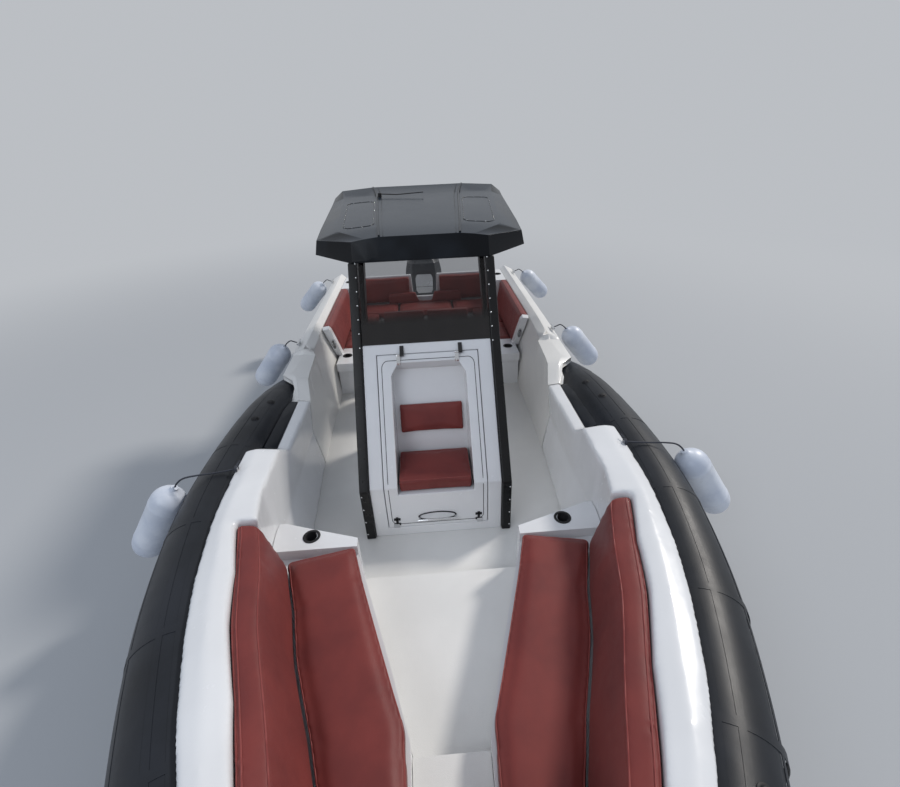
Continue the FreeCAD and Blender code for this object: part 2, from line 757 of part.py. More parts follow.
# Columns: x, then the inner face of the bow seats from the centre plane.
seatInner = [(5330, 560), (s.bowFloorX.value, mouthHalf + 1), (kneeX, kneeHalf + 1),
             (s.bowStepX.value, stepHalf + 2), (s.bowDeckX.value, slotHalf + 1)]
bowSeatTop = 670
ledgeTop = 750
ledgeFront = 5385
wallRows = [r for r in deckRows if r[1] is not None]
wallRows.append((5492,) + wallRows[-1][1:])


def seatSection(x, low, high, aft):
    inner = between(seatInner, x, 1)
    if aft:
        foot = between(wallRows, x, 1) - 3
        crease = between(wallRows, x, 2) - 3
        inset = (crease - foot) / 400
        over = between(wallRows, x, 3) + (crease + 3 - between(wallRows, x, 3)) * 0.8 - 4
        pts = [(inner, low), (inner, high), (over, high), (crease, sole + 400),
               (foot + (low - sole) * inset, low)]
    else:
        kneeUp = high - 22
        out = min(between(backrestStations, x, 1) - 1, linerAt(x, kneeUp) - 6)
        pts = [(inner, low), (inner, high), (out, high), (out, kneeUp), (linerAt(x, low) - 6, low)]
    return [(x, y, z) for y, z in pts]


rowXs = [r[0] for r in deckRows]


def seatBlock(low, high, floor, top, aft=False):
    xs = [low] + sorted(set([x for x in rowXs + hullStations if low + 3 < x < high - 3])) + [high]
    return loft([seatSection(x, floor, top, aft) for x in xs])


aftEnd = seatBlock(5130, 5398.5, sole + 0.3, bowSeatTop, True)
ledge = seatBlock(5130, ledgeFront, bowSeatTop - 60, ledgeTop, True)
slant = prismOf([(5330, 500), (5400, 500), (5400, 1300), (5055, 1300)], 0, 1000)
aftEnd = aftEnd.fuse(ledge).common(slant)
seat = fuseAll([aftEnd, seatBlock(5398, 5493, bowFloorTop - plate + 0.3, bowSeatTop, True),
                seatBlock(5492.5, s.bowStepX.value - 0.5, bowFloorTop - plate + 0.3, bowSeatTop),
                seatBlock(s.bowStepX.value - 0.5, foreX - 2, stepTop - plate + 0.3, bowSeatTop)])
bothSides("bow_seat_base", cupHoles(seat))

padPlan = [(5392, 566), (5480, 984), (6168, 788), (6878, 522), (7030, 466), (7030, 178), (6730, 184),
           (6504, 196)]
bothSides("bow_cushions", prismOf(padPlan, bowSeatTop + 0.3, bowSeatTop + s.seatPad.value))


def bowBackSection(row):
    x, outer, ridge, foot = row
    up = (x - 5490) / 1555 * 35
    heel = min(outer - 2, linerAt(x, bowSeatTop) - 4)
    pts = [(foot, bowSeatTop + 0.3), (foot, bowSeatTop + 100), (ridge, 1118 + up), (outer - 20, 1140 + up),
           (outer - 2, 1120 + up), (outer - 2, 760), (heel, bowSeatTop + 0.3)]
    return [(x, y, z) for y, z in pts]


backrestRows = [(5496,) + backrestStations[0][1:]] + backrestStations[1:]
bothSides("bow_backrests", loft([bowBackSection(row) for row in backrestRows]))

# Console

consoleSide = [(s.consoleAftX, s.soleTop + 0.3), (s.consoleFootX, s.soleTop + 0.3),
               (s.consoleFootX, s.soleTop + s.consoleKnee), (s.consoleTopX, s.soleTop + s.consoleTop),
               (s.dashX, s.soleTop + s.consoleTop), (s.consoleAftX, s.soleTop + s.consoleAftTop)]
wall = s.consoleWall
hollowSide = [(s.consoleAftX + wall, s.soleTop - 1), (s.consoleFootX - wall, s.soleTop - 1),
              (s.consoleFootX - wall, s.soleTop + s.consoleKnee - 10),
              (s.consoleTopX - 17, s.soleTop + s.consoleTop - wall),
              (s.dashX + 8, s.soleTop + s.consoleTop - wall),
              (s.consoleAftX + wall, s.soleTop + s.consoleAftTop - 18)]
console = midPiece("console", consoleSide, s.consoleHalf * 2)
pocketIn(console, "XZ_Plane", hollowSide, (s.consoleHalf - wall) * 2, 0, True)
gap = s.doorGap
openHalf = s.doorHalf + gap
openLow = s.soleTop + s.doorFoot - gap
openHigh = s.soleTop + s.doorTop + gap
opening = [(-openHalf, openLow), (openHalf, openLow), (openHalf, openHigh), (-openHalf, openHigh)]
doorway = sketchOn(console, "YZ_Plane", opening, 4120)
cut = console.newObject("PartDesign::Pocket", "Doorway")
cut.Profile = doorway
cut.Length = 900
cut.Reversed = True


frontLean = (s.consoleFootX.value - s.consoleTopX.value) / (s.consoleTop.value - s.consoleKnee.value)


def frontAt(up):
    """Distance forward of the console's front face at a height above the sole."""
    return s.consoleFootX.value - max(0, up - s.consoleKnee.value) * frontLean


thick = s.doorThick.value
slope = thick * math.hypot(1, frontLean)
doorFoot = s.doorFoot.value
knee = s.consoleKnee.value
doorTop = s.doorTop.value
doorSide = [(frontAt(doorFoot), doorFoot), (frontAt(doorFoot), knee), (frontAt(doorTop), doorTop),
            (frontAt(doorTop) - slope, doorTop), (frontAt(doorFoot) - thick, knee - 9),
            (frontAt(doorFoot) - thick, doorFoot)]


def acrossPrism(side, half):
    """A side outline (x, height above the sole) as wide to port as to starboard."""
    face = Part.Face(Part.makePolygon([Vec(x, -half, sole + z) for x, z in side + side[:1]]))
    return face.extrude(Vec(0, 2 * half, 0))


nicheSeat = s.nicheSeat.value
nicheTop = s.nicheTop.value
deep = s.nicheDeep.value
deepTop = s.nicheDeepTop.value
tubWall = s.nicheWall.value
nicheHollow = [(5000, nicheSeat), (deep, nicheSeat), (deep - 40, 700), (deep - 130, 930), (deepTop, 1200),
               (deepTop + 92, nicheTop), (4400, nicheTop)]
tubOuter = [(4825, nicheSeat - tubWall), (deep - 16, nicheSeat - tubWall), (deep - 55, 696), (deep - 145, 926),
            (deepTop - 20, 1204), (deepTop + 62, nicheTop + tubWall + 1), (frontAt(1290) - 10, 1290),
            (frontAt(600) - 10, 600)]
nicheHalf = s.nicheHalf.value
door = acrossPrism(doorSide, s.doorHalf.value).fuse(acrossPrism(tubOuter, nicheHalf + tubWall))
hollow = acrossPrism(nicheHollow, nicheHalf)
for side in (1, -1):
    corners = [(235, 1301), (310, 1301), (310, 1200), (235, 1301)]
    chamfer = Part.Face(Part.makePolygon([Vec(4100, side * y, sole + z) for y, z in corners]))
    hollow = hollow.cut(chamfer.extrude(Vec(300, 0, 0)))
formPiece("console_door", door.cut(hollow).removeSplitter())

seatPad = acrossPrism([(4416, nicheSeat + 0.3), (4822, nicheSeat + 0.3), (4822, 520), (4805, 545), (4412, 545)],
                      nicheHalf - 6)
backCushion = acrossPrism([(4370.3, 700.1), (4407, 715), (4317, 944), (4280.3, 930.1)], 272)
formPiece("door_cushions", Part.makeCompound([seatPad, backCushion]))

hingeX = 4245
hingeUp = sole + 1360
fittings = []
hinges = []
for y in (-250, 220):
    barrel = Part.makeCylinder(9, 29.7, Vec(hingeX, y, hingeUp), Vec(0, 1, 0))
    leaf = acrossPrism([(frontAt(1345) + 0.3, 1345), (frontAt(1290) + 0.3, 1290), (frontAt(1290) + 7, 1290),
                        (4252, 1354), (4240, 1354)], 14.85)
    leaf.translate(Vec(0, y + 14.85, 0))
    fittings.append(barrel.fuse(leaf))
    knuckle = Part.makeCylinder(9, 29.7, Vec(hingeX, y + 30, hingeUp), Vec(0, 1, 0))
    plateUp = acrossPrism([(frontAt(1410) + 0.3, 1410), (frontAt(1362) + 0.3, 1362), (4240, 1354), (4250, 1366),
                           (frontAt(1410) + 7, 1410)], 14.85)
    plateUp.translate(Vec(0, y + 44.85, 0))
    hinges.append(knuckle.fuse(plateUp))
for y in (-340, 340):
    fittings.append(boxBetween((4840.3, y - 22, sole + 96), (4852, y + 22, sole + 134)))
bar = rodAlong((4885, -163, sole + 190), (4885, 155, sole + 190), 9)
for y in (-150, 142):
    bar = bar.fuse(rodAlong((4840.3, y, sole + 190), (4885, y, sole + 190), 8))
fittings.append(bar)
formPiece("door_fittings", Part.makeCompound(fittings))

deckTopZ = s.bowDeckTop.value
lidAxisX = s.lockerAftX.value + 2
lidPins = []
for y in (-120, 90):
    pinLid = Part.makeCylinder(6, 29.7, Vec(lidAxisX, y, deckTopZ + 6.3), Vec(0, 1, 0))
    strap = boxBetween((lidAxisX + 1, y, deckTopZ + 0.3), (lidAxisX + 40, y + 29.7, deckTopZ + 4))
    lidPins.append(pinLid.fuse(strap))
    pinDeck = Part.makeCylinder(6, 29.7, Vec(lidAxisX, y + 30, deckTopZ + 6.3), Vec(0, 1, 0))
    hinges.append(pinDeck.fuse(boxBetween((lidAxisX - 40, y + 30, deckTopZ + 0.3),
                                          (lidAxisX - 1, y + 59.7, deckTopZ + 4))))
lidPins.append(boxBetween((s.lockerFrontX.value - 60, -30, deckTopZ + 0.3),
                          (s.lockerFrontX.value - 30, 30, deckTopZ + 10)))
formPiece("lid_fittings", Part.makeCompound(lidPins))
formPiece("hinge_leaves", Part.makeCompound(hinges))

# Hardtop on its legs

proud = s.legProud
inside = s.legIn
outside = s.legIn + s.legThick
legSide = [(s.consoleFootX + proud, s.soleTop + 0.3), (s.consoleFootX + proud, s.soleTop + s.consoleKnee),
           (s.consoleTopX + proud, s.soleTop + s.consoleTop), (3826, s.soleTop + s.roofFoot - 0.3),
           (3715, s.soleTop + s.roofFoot - 0.3), (4050, s.soleTop + 1440), (3900, s.soleTop + 1260),
           (3330, s.soleTop + s.roofFoot - 0.3), (3190, s.soleTop + s.roofFoot - 0.3),
           (3840, s.soleTop + 1120), (4160, s.soleTop + 1120), (4740, s.soleTop + 460), (4740, s.soleTop + 0.3)]
legHalf = sidePiece("t_top_leg", legSide, inside, outside)
pairOf("t_top_legs", legHalf)

# Columns: x, then half width and height above the sole of the rim, the shoulder, the brow and the ridge.
roofTable = [
    (1650, 1000, 2040, 978, 2250, 880, 2325, 520, 2350),
    (1950, 985, 2035, 962, 2225, 830, 2275, 455, 2290),
    (3100, 935, 2000, 912, 2146, 735, 2206, 378, 2232),
    (3450, 917, 2000, 890, 2120, 700, 2185, 350, 2212),
    (3750, 640, 2000, 555, 2150, 440, 2168, 326, 2180),
    (3830, 560, 2000, 555, 2012, 440, 2014, 330, 2015),
]
roofSections = []
for x, a, za, b, zb, c, zc, d, zd in roofTable:
    row = [(a, za), (b, zb), (c, zc), (d, zd)]
    roofSections.append([(x, y, sole + z) for y, z in row] + [(x, -y, sole + z) for y, z in reversed(row)])
roof = loft(roofSections)
underSections = []
for x, y in ((1720, 880), (3420, 820)):
    underSections.append([(x, -y, sole + 1990), (x, y, sole + 1990), (x, y - 40, sole + 2080),
                          (x, 40 - y, sole + 2080)])
underside = loft(underSections)
rim = slab(3150, 3420, 500, 620, sole + 1980, sole + 2110)
underside = underside.cut(rim).cut(mirrorY(rim))
formPiece("hardtop", roof.cut(underside))

screenFoot = s.consoleTopX - 20
screenHead = 3800
screenSide = [(screenFoot, s.soleTop + s.consoleTop + 0.3),
              (screenFoot + s.screenThick, s.soleTop + s.consoleTop + 0.3),
              (screenHead + s.screenThick, s.soleTop + s.roofFoot - 0.3),
              (screenHead, s.soleTop + s.roofFoot - 0.3)]
midPiece("windscreen", screenSide, (s.legIn - 0.3) * 2)

antennaX = 2050
antennaY = -420
antennaUp = sole + between([(row[0], row[8]) for row in roofTable], antennaX, 1)
antenna = Part.makeCylinder(20, 40, Vec(antennaX, antennaY, antennaUp + 1.5))
antennaLine = [(antennaX, antennaY, 32), (antennaX + 60, antennaY + 190, 24),
               (antennaX + 80, antennaY + 480, 38)]
for low, high in zip(antennaLine, antennaLine[1:]):
    antenna = antenna.fuse(rodAlong(low[:2] + (antennaUp + low[2],), high[:2] + (antennaUp + high[2],), 5))
formPiece("antenna", antenna)

# Helm

panelSide = [(3490, s.soleTop + 1066.6), (4000, s.soleTop + 1400.7), (3993.4, s.soleTop + 1411),
             (3483.4, s.soleTop + 1077)]
panel = midPiece("helm_panel", panelSide, 820)
nodes.remove(panel)
rake = math.radians(s.wheelRake.value)
wheelCentre = Vec(s.wheelX.value, s.wheelSide.value, sole + s.wheelHeight.value)
axle = Vec(-math.cos(rake), 0, math.sin(rake))
doc.recompute()
column = Part.makeCylinder(28, 112.7, wheelCentre - axle * 135, axle)
column = column.cut(boxBetween((s.consoleAftX.value, -400, 0), (3700, 400, 2000)))
lever = acrossPrism([(3560, 1114), (3660, 1180), (3640, 1215), (3600, 1240), (3545, 1190)], 45)
lever.translate(Vec(0, 130, 0))
arm = rodAlong((3600, 130, sole + 1200), (3560, 130, sole + 1340), 9)
formPiece("helm_controls", Part.makeCompound([panel.Shape, column, lever.fuse(arm).cut(panel.Shape)]))

wheel = Part.makeTorus(s.wheelRadius.value - 14, 14, Vec(0, 0, 0), Vec(0, 0, 1))
wheel = wheel.fuse(Part.makeCylinder(38, 34, Vec(0, 0, -22)))
for angle in (0, 120, 240):
    spoke = Part.makeBox(s.wheelRadius.value - 44, 26, 8, Vec(30, -13, -4))
    spoke.rotate(Vec(0, 0, 0), Vec(0, 0, 1), angle)
    wheel = wheel.fuse(spoke)
wheel.Placement = FreeCAD.Placement(wheelCentre, FreeCAD.Rotation(Vec(0, 0, 1), axle))
formPiece("steering_wheel", wheel)

helmTop = s.helmSeatHeight
helmAftX = 2330
helmFrontX = 2860
helmHalf = 520
helmBase = midPiece("helm_seat_base", [(helmAftX + 20, s.soleTop + 0.3), (helmFrontX - 60, s.soleTop + 0.3),
                                       (helmFrontX, s.soleTop + helmTop), (helmAftX, s.soleTop + helmTop)],
                    helmHalf * 2)
helmPads = []
for side in (1, -1):
    y1, y2 = sorted((side * 8, side * (helmHalf - 10)))
    padFoot = helmTop.value + 0.3
    backTop = s.helmBackTop.value
    helmPads.append(slab(helmAftX + 90, helmFrontX, y1, y2, sole + padFoot, sole + padFoot + 99.7))
    back = acrossPrism([(helmAftX, padFoot), (helmAftX + 85, padFoot), (helmAftX + 54, backTop),
                        (helmAftX - 23, backTop)], (helmHalf - 18) / 2)
    back.translate(Vec(0, side * (helmHalf - 2) / 2, 0))
    helmPads.append(back)
formPiece("helm_seat_cushion", Part.makeCompound(helmPads))

# Fittings

cups = []
for x, y, z in cupTable:
    for side in (1, -1):
        at = Vec(x, side * y, z - s.cupDepth.value)
        cup = Part.makeCylinder(cupR, s.cupDepth.value + 0.3, at)
        cup = cup.fuse(Part.makeCylinder(s.cupRadius.value, s.cupRim.value, Vec(x, side * y, z + 0.3)))
        cups.append(cup.cut(Part.makeCylinder(s.cupBore.value, 200, at + Vec(0, 0, s.cupWall.value))))
formPiece("cup_holders", Part.makeCompound(cups))


def deckHeight(x, y):
    """Height of the deck between its ridge and its outer edge."""
    ridge = between(deckRows, x, 4)
    edge = between(deckRows, x, 5)
    t = (y - ridge) / (edge - ridge)
    return sole + between(deckRows, x, 7) * (1 - t) + between(deckRows, x, 8) * t


def cleatAt(x, y, z, turn):
    """Cleat with two feet and a bar whose ends overhang."""
    shape = Part.makeBox(150, 24, 16, Vec(-75, -12, 30))
    for foot in (-35, 15):
        shape = shape.fuse(Part.makeBox(20, 24, 31, Vec(foot, -12, 0)))
    shape.rotate(Vec(0, 0, 0), Vec(0, 0, 1), turn)
    shape.translate(Vec(x, y, z))
    return shape


# Columns: x, y and z of a cleat's foot and its turn from fore-and-aft, in degrees.
midCleatX = 2750
aftCleatX = 340
cleatTable = [
    (midCleatX, 1432, deckHeight(midCleatX, 1420) + 0.8, 0),
    (aftCleatX, 1432, deckHeight(aftCleatX, 1420) + 0.8, 0),
    (7160, 560, s.bowDeckTop.value + 0.3, -40),
]
cleats = []
for x, y, z, turn in cleatTable:
    one = cleatAt(x, y, z, turn)
    cleats += [one, mirrorY(one)]
eyeX = 4960
eyeY = 1395.3
eyeUp = 1141
linePad = boxBetween((eyeX - 15, eyeY - 12.3, eyeUp - 11.8), (eyeX + 15, eyeY - 0.3, eyeUp + 12))
cleats += [linePad, mirrorY(linePad)]
formPiece("cleats", Part.makeCompound(cleats))

bowEyeX = 7942
bowEyeUp = 590
sternEyeX = -742
sternEyeY = 620
sternEyeUp = 110
across = Vec(0, -1, 0)
reach = s.eyeReach.value
bore = s.eyeBore.value
plateThick = s.eyePlate.value
eye = Part.makeCylinder(reach, plateThick, Vec(bowEyeX - 7, plateThick / 2, bowEyeUp), across)
eye = eye.fuse(boxBetween((bowEyeX - 82, -plateThick / 2, bowEyeUp - 30),
                          (bowEyeX - 7, plateThick / 2, bowEyeUp + 30)))
eye = eye.cut(Part.makeCylinder(bore, 60, Vec(bowEyeX, 30, bowEyeUp), across)).cut(hullShape)
eyes = [eye.Solids[0] if eye.ShapeType == "Compound" else eye]
for y in (-sternEyeY, sternEyeY):
    ear = Part.makeCylinder(reach, plateThick, Vec(sternEyeX + 4, y + plateThick / 2, sternEyeUp), across)
    ear = ear.fuse(boxBetween((sternEyeX + 4, y - plateThick / 2, sternEyeUp - reach),
                              (s.sternX.value - 0.3, y + plateThick / 2, sternEyeUp + reach)))
    ear = ear.cut(Part.makeCylinder(bore, 60, Vec(sternEyeX, y + 30, sternEyeUp), across))
    eyes.append(ear)
formPiece("towing_eyes", Part.makeCompound(eyes))

deckUp = s.bowDeckTop.value
rollerAft = s.lockerFrontX.value + 20
rollerTip = 8150
cheekAft = 7960
rollerHalf = 60
cheekThick = 8
roller = boxBetween((rollerAft, -rollerHalf, deckUp + 0.3), (rollerTip - 30, rollerHalf, deckUp + 12))
for side in (-rollerHalf, rollerHalf - cheekThick):
    cheek = boxBetween((cheekAft, side, deckUp + 0.3), (rollerTip, side + cheekThick, deckUp + 60))
    roller = roller.fuse(cheek)
roller = roller.fuse(Part.makeCylinder(24, 2 * rollerHalf, Vec(rollerTip - 35, -rollerHalf, deckUp + 40),
                                       Vec(0, 1, 0)))
formPiece("anchor_roller", roller)

railX = -350
railIn = -900
railOut = -1150
railFoot = s.platformTop.value + 0.3
railTop = 980
rail = rodAlong((railX, railIn, railFoot), (railX, railIn, railTop), 14)
rail = rail.fuse([rodAlong((railX, railOut, railFoot), (railX, railOut, railTop), 14),
                  rodAlong((railX, railIn, railTop - 1), (railX, railOut, railTop - 1), 13)])
formPiece("stern_rail", rail)

strake = loft([[(x, sideAt(x, 620) + 0.3, 620), (x, sideAt(x, 600) + 40, 608), (x, sideAt(x, 560) + 40, 566),
                (x, sideAt(x, 550) + 0.3, 550)] for x in (2, wallXs[0] - 40)])
bothSides("rub_strakes", strake)

# Outboard motor

boardTop = s.transomTop.value
tilt = Vec(s.tiltX.value, 0, s.tiltHeight.value)
steerX = s.steerX.value
clamp = boxBetween((-722, -150, 70), (-700.3, 150, boardTop + 12))
clamp = clamp.fuse(boxBetween((-722, -150, boardTop + 0.3), (-640, 150, boardTop + 12)))
for side in (1, -1):
    y1, y2 = sorted((side * 128, side * 150))
    corners = [(-715, 90), (-760, 300), (-735, 440), (-645, 440), (-640, boardTop + 6), (-715, boardTop + 6),
               (-715, 90)]
    cheek = Part.Face(Part.makePolygon([Vec(x, y1, z) for x, z in corners]))
    clamp = clamp.fuse(cheek.extrude(Vec(0, y2 - y1, 0)))
clamp = clamp.cut(Part.makeCylinder(20.5, 400, Vec(tilt.x, -200, tilt.z), Vec(0, 1, 0)))
formPiece("clamp_bracket", clamp.removeSplitter())

# Side outline of the swivel: x and z
swivelSide = [(-655, 392), (-655, 425), (-700, 440), (-790, 386), (-840, 386), (-840, 110), (-778, 110),
              (-732, 372), (-655, 392)]
swivel = Part.Face(Part.makePolygon([Vec(x, -118, z) for x, z in swivelSide])).extrude(Vec(0, 236, 0))
swivel = swivel.fuse(Part.makeCylinder(20, 300, Vec(tilt.x, -150, tilt.z), Vec(0, 1, 0)))
swivel = swivel.fuse(Part.makeCylinder(52, 285, Vec(steerX, 0, 105)))
swivel = swivel.cut(Part.makeCylinder(25.5, 400, Vec(steerX, 0, 60)))
formPiece("swivel_bracket", swivel.removeSplitter())


def cowlRing(z, front, aft, frontHalf, half, aftHalf):
    long = front - aft
    line = [(front, frontHalf), (front - 0.19 * long, half), (aft + 0.27 * long, half), (aft, aftHalf)]
    pts = line + [(x, -y) for x, y in reversed(line)]
    return [(x, y, z) for x, y in pts]


# Columns: height, front, after end, then half widths at the front, the middle and the after end.
cowlTable = [
    (402, -900, -1200, 140, 170, 120),
    (545, -640, -1320, 205, 300, 190),
    (780, -640, -1370, 210, 325, 200),
    (955, -648, -1360, 210, 322, 195),
    (1100, -700, -1310, 195, 290, 170),
    (1165, -775, -1210, 160, 225, 130),
]
formPiece("outboard_cowl", loft([cowlRing(*row) for row in cowlTable]))

shaft = s.shaftZ.value


def taperAt(z, front, aft, half):
    """Streamlined level section of the leg."""
    return [(front, 0, z), (front - 70, half, z), (aft + 110, half, z), (aft, half * 0.3, z),
            (aft, -half * 0.3, z), (aft + 110, -half, z), (front - 70, -half, z)]


leg = loft([taperAt(401.7, -886, -1180, 120), taperAt(60, -886, -1150, 105), taperAt(-250, -895, -1130, 62),
            taperAt(-340, -885, -1150, 55), taperAt(shaft + 10, -890, -1180, 42)])
yoke = boxBetween((-990, -60, 390.3), (steerX, 60, 401.7))
yoke = yoke.fuse(boxBetween((-990, -60, 40), (steerX, 60, 104.7)))
leg = leg.fuse(yoke).fuse(Part.makeCylinder(25, 360, Vec(steerX, 0, 41)))
plan = [(-880, 20), (-960, 120), (-1250, 130), (-1420, 90)]
leg = leg.fuse(prismOf(twoSided(plan), -345, -331))
torpedo = [(-800, 4), (-835, 40), (-910, 68), (-1180, 68), (-1290, 52)]
profile = Part.Face(Part.makePolygon([Vec(x, 0, shaft + r) for x, r in torpedo] +
                                     [Vec(-1290, 0, shaft), Vec(-800, 0, shaft), Vec(-800, 0, shaft + 4)]))
leg = leg.fuse(profile.revolve(Vec(0, 0, shaft), Vec(1, 0, 0), 360))
skegSide = [(-930, -40), (-1190, -40), (-1210, -235), (-1130, -245), (-930, -40)]
skeg = Part.Face(Part.makePolygon([Vec(x, -8, shaft + up) for x, up in skegSide]))
leg = leg.fuse(skeg.extrude(Vec(0, 16, 0)))
formPiece("outboard_leg", leg.removeSplitter())

hub = Part.makeCylinder(52, 130, Vec(-1290.3, 0, shaft), Vec(-1, 0, 0))
# Columns: radius, chord, pitch angle in degrees and thickness of a blade.
bladeTable = [(40, 110, 58, 16), (110, 165, 42, 10), (s.propRadius.value, 110, 30, 5)]
propeller = hub
for turn in (0, 120, 240):
    sections = []
    for radius, chord, pitch, thickness in bladeTable:
        c, q = math.cos(math.radians(pitch)), math.sin(math.radians(pitch))
        ring = []
        for u, v in ((-0.5, 0), (0, -0.5), (0.5, 0), (0, 0.5)):
            along, across = u * chord, v * thickness
            ring.append((-1355 + along * q + across * c, along * c - across * q, shaft + radius))
        sections.append(ring)
    blade = loft(sections)
    blade.rotate(Vec(-1355, 0, shaft), Vec(1, 0, 0), turn)
    propeller = propeller.fuse(blade)
formPiece("propeller", propeller.removeSplitter())

# Fenders and their lines

# Columns: head centre x, y and z, then the direction from the head to the foot.
fenderTable = [
    (5038, 1888, 952, 0.10, 0.55, -0.83),
    (2808, 1654, 1050, -0.20, 0.615, -0.762),
    (384, 1657.6, 1059, -0.32, 0.635, -0.70),
]
fenderR = s.fenderRadius.value
boss = 24
bossRadius = 26
fenders = []
tips = []
for x, y, z, dx, dy, dz in fenderTable:
    head = Vec(x, y, z)
    down = Vec(dx, dy, dz).normalize()
    foot = head + down * s.fenderSpan.value
    body = Part.makeCylinder(fenderR, s.fenderSpan.value, head, down)
    body = body.fuse([Part.makeSphere(fenderR, head), Part.makeSphere(fenderR, foot)])
    reach = s.fenderSpan.value + 2 * (fenderR + boss)
    body = body.fuse(Part.makeCylinder(bossRadius, reach, head - down * (fenderR + boss), down)).removeSplitter()
    fenders += [body, mirrorY(body)]
    tips.append((head - down * (fenderR + boss + 0.3), down))
formPiece("fenders", Part.makeCompound(fenders))


def tangentWire(points):
    """Straight runs joined by tangent arcs."""
    pts = [Vec(*p) for p in points]
    edges = []
    start = pts[0]
    radii = []
    for a, b, c in zip(pts, pts[1:], pts[2:]):
        u = (b - a).normalize()
        v = (c - b).normalize()
        half = u.getAngle(v) / 2
        back = 0.45 * min((b - a).Length, (c - b).Length)
        radius = back / math.tan(half)
        radii.append(round(radius, 1))
        p = b - u * back
        q = b + v * back
        toward = (v - u).normalize()
        centre = b + toward * (radius / math.cos(half))
        middle = centre - toward * radius
        edges.append(Part.LineSegment(start, p).toShape())
        edges.append(Part.Arc(p, middle, q).toShape())
        start = q
    edges.append(Part.LineSegment(start, pts[-1]).toShape())
    return Part.Wire(edges), radii


def tubeAlong(points, radius):
    wire, radii = tangentWire(points)
    first = Vec(*points[1]) - Vec(*points[0])
    ring = Part.Wire([Part.makeCircle(radius, Vec(*points[0]), first)])
    solid = wire.makePipeShell([ring], True, False)
    return solid, radii, wire.Length


def offsetFrom(tip, along):
    return tuple(tip[0] - tip[1] * along)


# Points of each fender line, from the fender to its pad or cleat on the deck
cleatSide = 1444
lineTable = [
    [offsetFrom(tips[0], 0), offsetFrom(tips[0], 70), (5000, 1660, 1140), (4979, 1527, 1133),
     (eyeX, eyeY + 0.9, eyeUp)],
    [offsetFrom(tips[1], 0), offsetFrom(tips[1], 46), (2814, 1500, 1212), (2778, 1478, 1180),
     (midCleatX + 18, cleatSide + 3.3, deckHeight(midCleatX, 1420) + 39)],
    [offsetFrom(tips[2], 0), offsetFrom(tips[2], 46), (415, 1498, 1213), (378, 1477, 1184),
     (aftCleatX + 26, cleatSide + 3.6, deckHeight(aftCleatX, 1420) + 39)],
]
number = 0
for points in lineTable:
    for side in (1, -1):
        number += 1
        route = [(x, side * y, z) for x, y, z in points]
        solid, radii, length = tubeAlong(route, s.lineRadius.value)
        formPiece("fender_line_%d" % number, solid)
        print("line", number, "radii", radii, "volume", round(solid.Volume),
              "of", round(math.pi * s.lineRadius.value ** 2 * length), "length", round(length))

doc.recompute()

# Check and write

os.makedirs("parts", exist_ok=True)
for item in doc.Objects:
    if "Invalid" in item.State or "Error" in item.State:
        raise RuntimeError("%s did not recompute" % item.Label)
for item in nodes:
    if item.Shape.isNull() or not item.Shape.isValid():
        raise RuntimeError("%s has no valid shape" % item.Label)
for item in nodes:
    item.Shape.exportStep("parts/%s.step" % item.Label)
print(len(nodes), "nodes")
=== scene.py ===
from math import acos, atan2, cos, degrees, hypot, pi, radians, sin, tan

import bmesh
import bpy
from mathutils import Matrix, Vector
from mathutils.bvhtree import BVHTree


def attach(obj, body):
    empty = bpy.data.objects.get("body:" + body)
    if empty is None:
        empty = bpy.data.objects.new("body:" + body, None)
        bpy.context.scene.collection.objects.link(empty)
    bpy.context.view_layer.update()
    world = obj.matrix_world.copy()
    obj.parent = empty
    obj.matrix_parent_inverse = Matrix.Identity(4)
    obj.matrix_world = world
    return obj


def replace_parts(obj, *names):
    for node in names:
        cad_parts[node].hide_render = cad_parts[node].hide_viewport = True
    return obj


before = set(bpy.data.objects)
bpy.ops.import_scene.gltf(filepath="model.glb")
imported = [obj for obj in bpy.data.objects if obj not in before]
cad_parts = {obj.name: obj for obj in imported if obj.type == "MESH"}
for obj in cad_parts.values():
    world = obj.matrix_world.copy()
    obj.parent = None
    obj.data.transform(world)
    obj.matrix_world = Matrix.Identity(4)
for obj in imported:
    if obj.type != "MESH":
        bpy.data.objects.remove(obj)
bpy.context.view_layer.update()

scene = bpy.context.scene
sole = 0.25    # height of the cockpit floor above the water, in metres
print("frame loaded")


# Materials. Patterns are scaled per metre, and the depths of bumps are in metres.

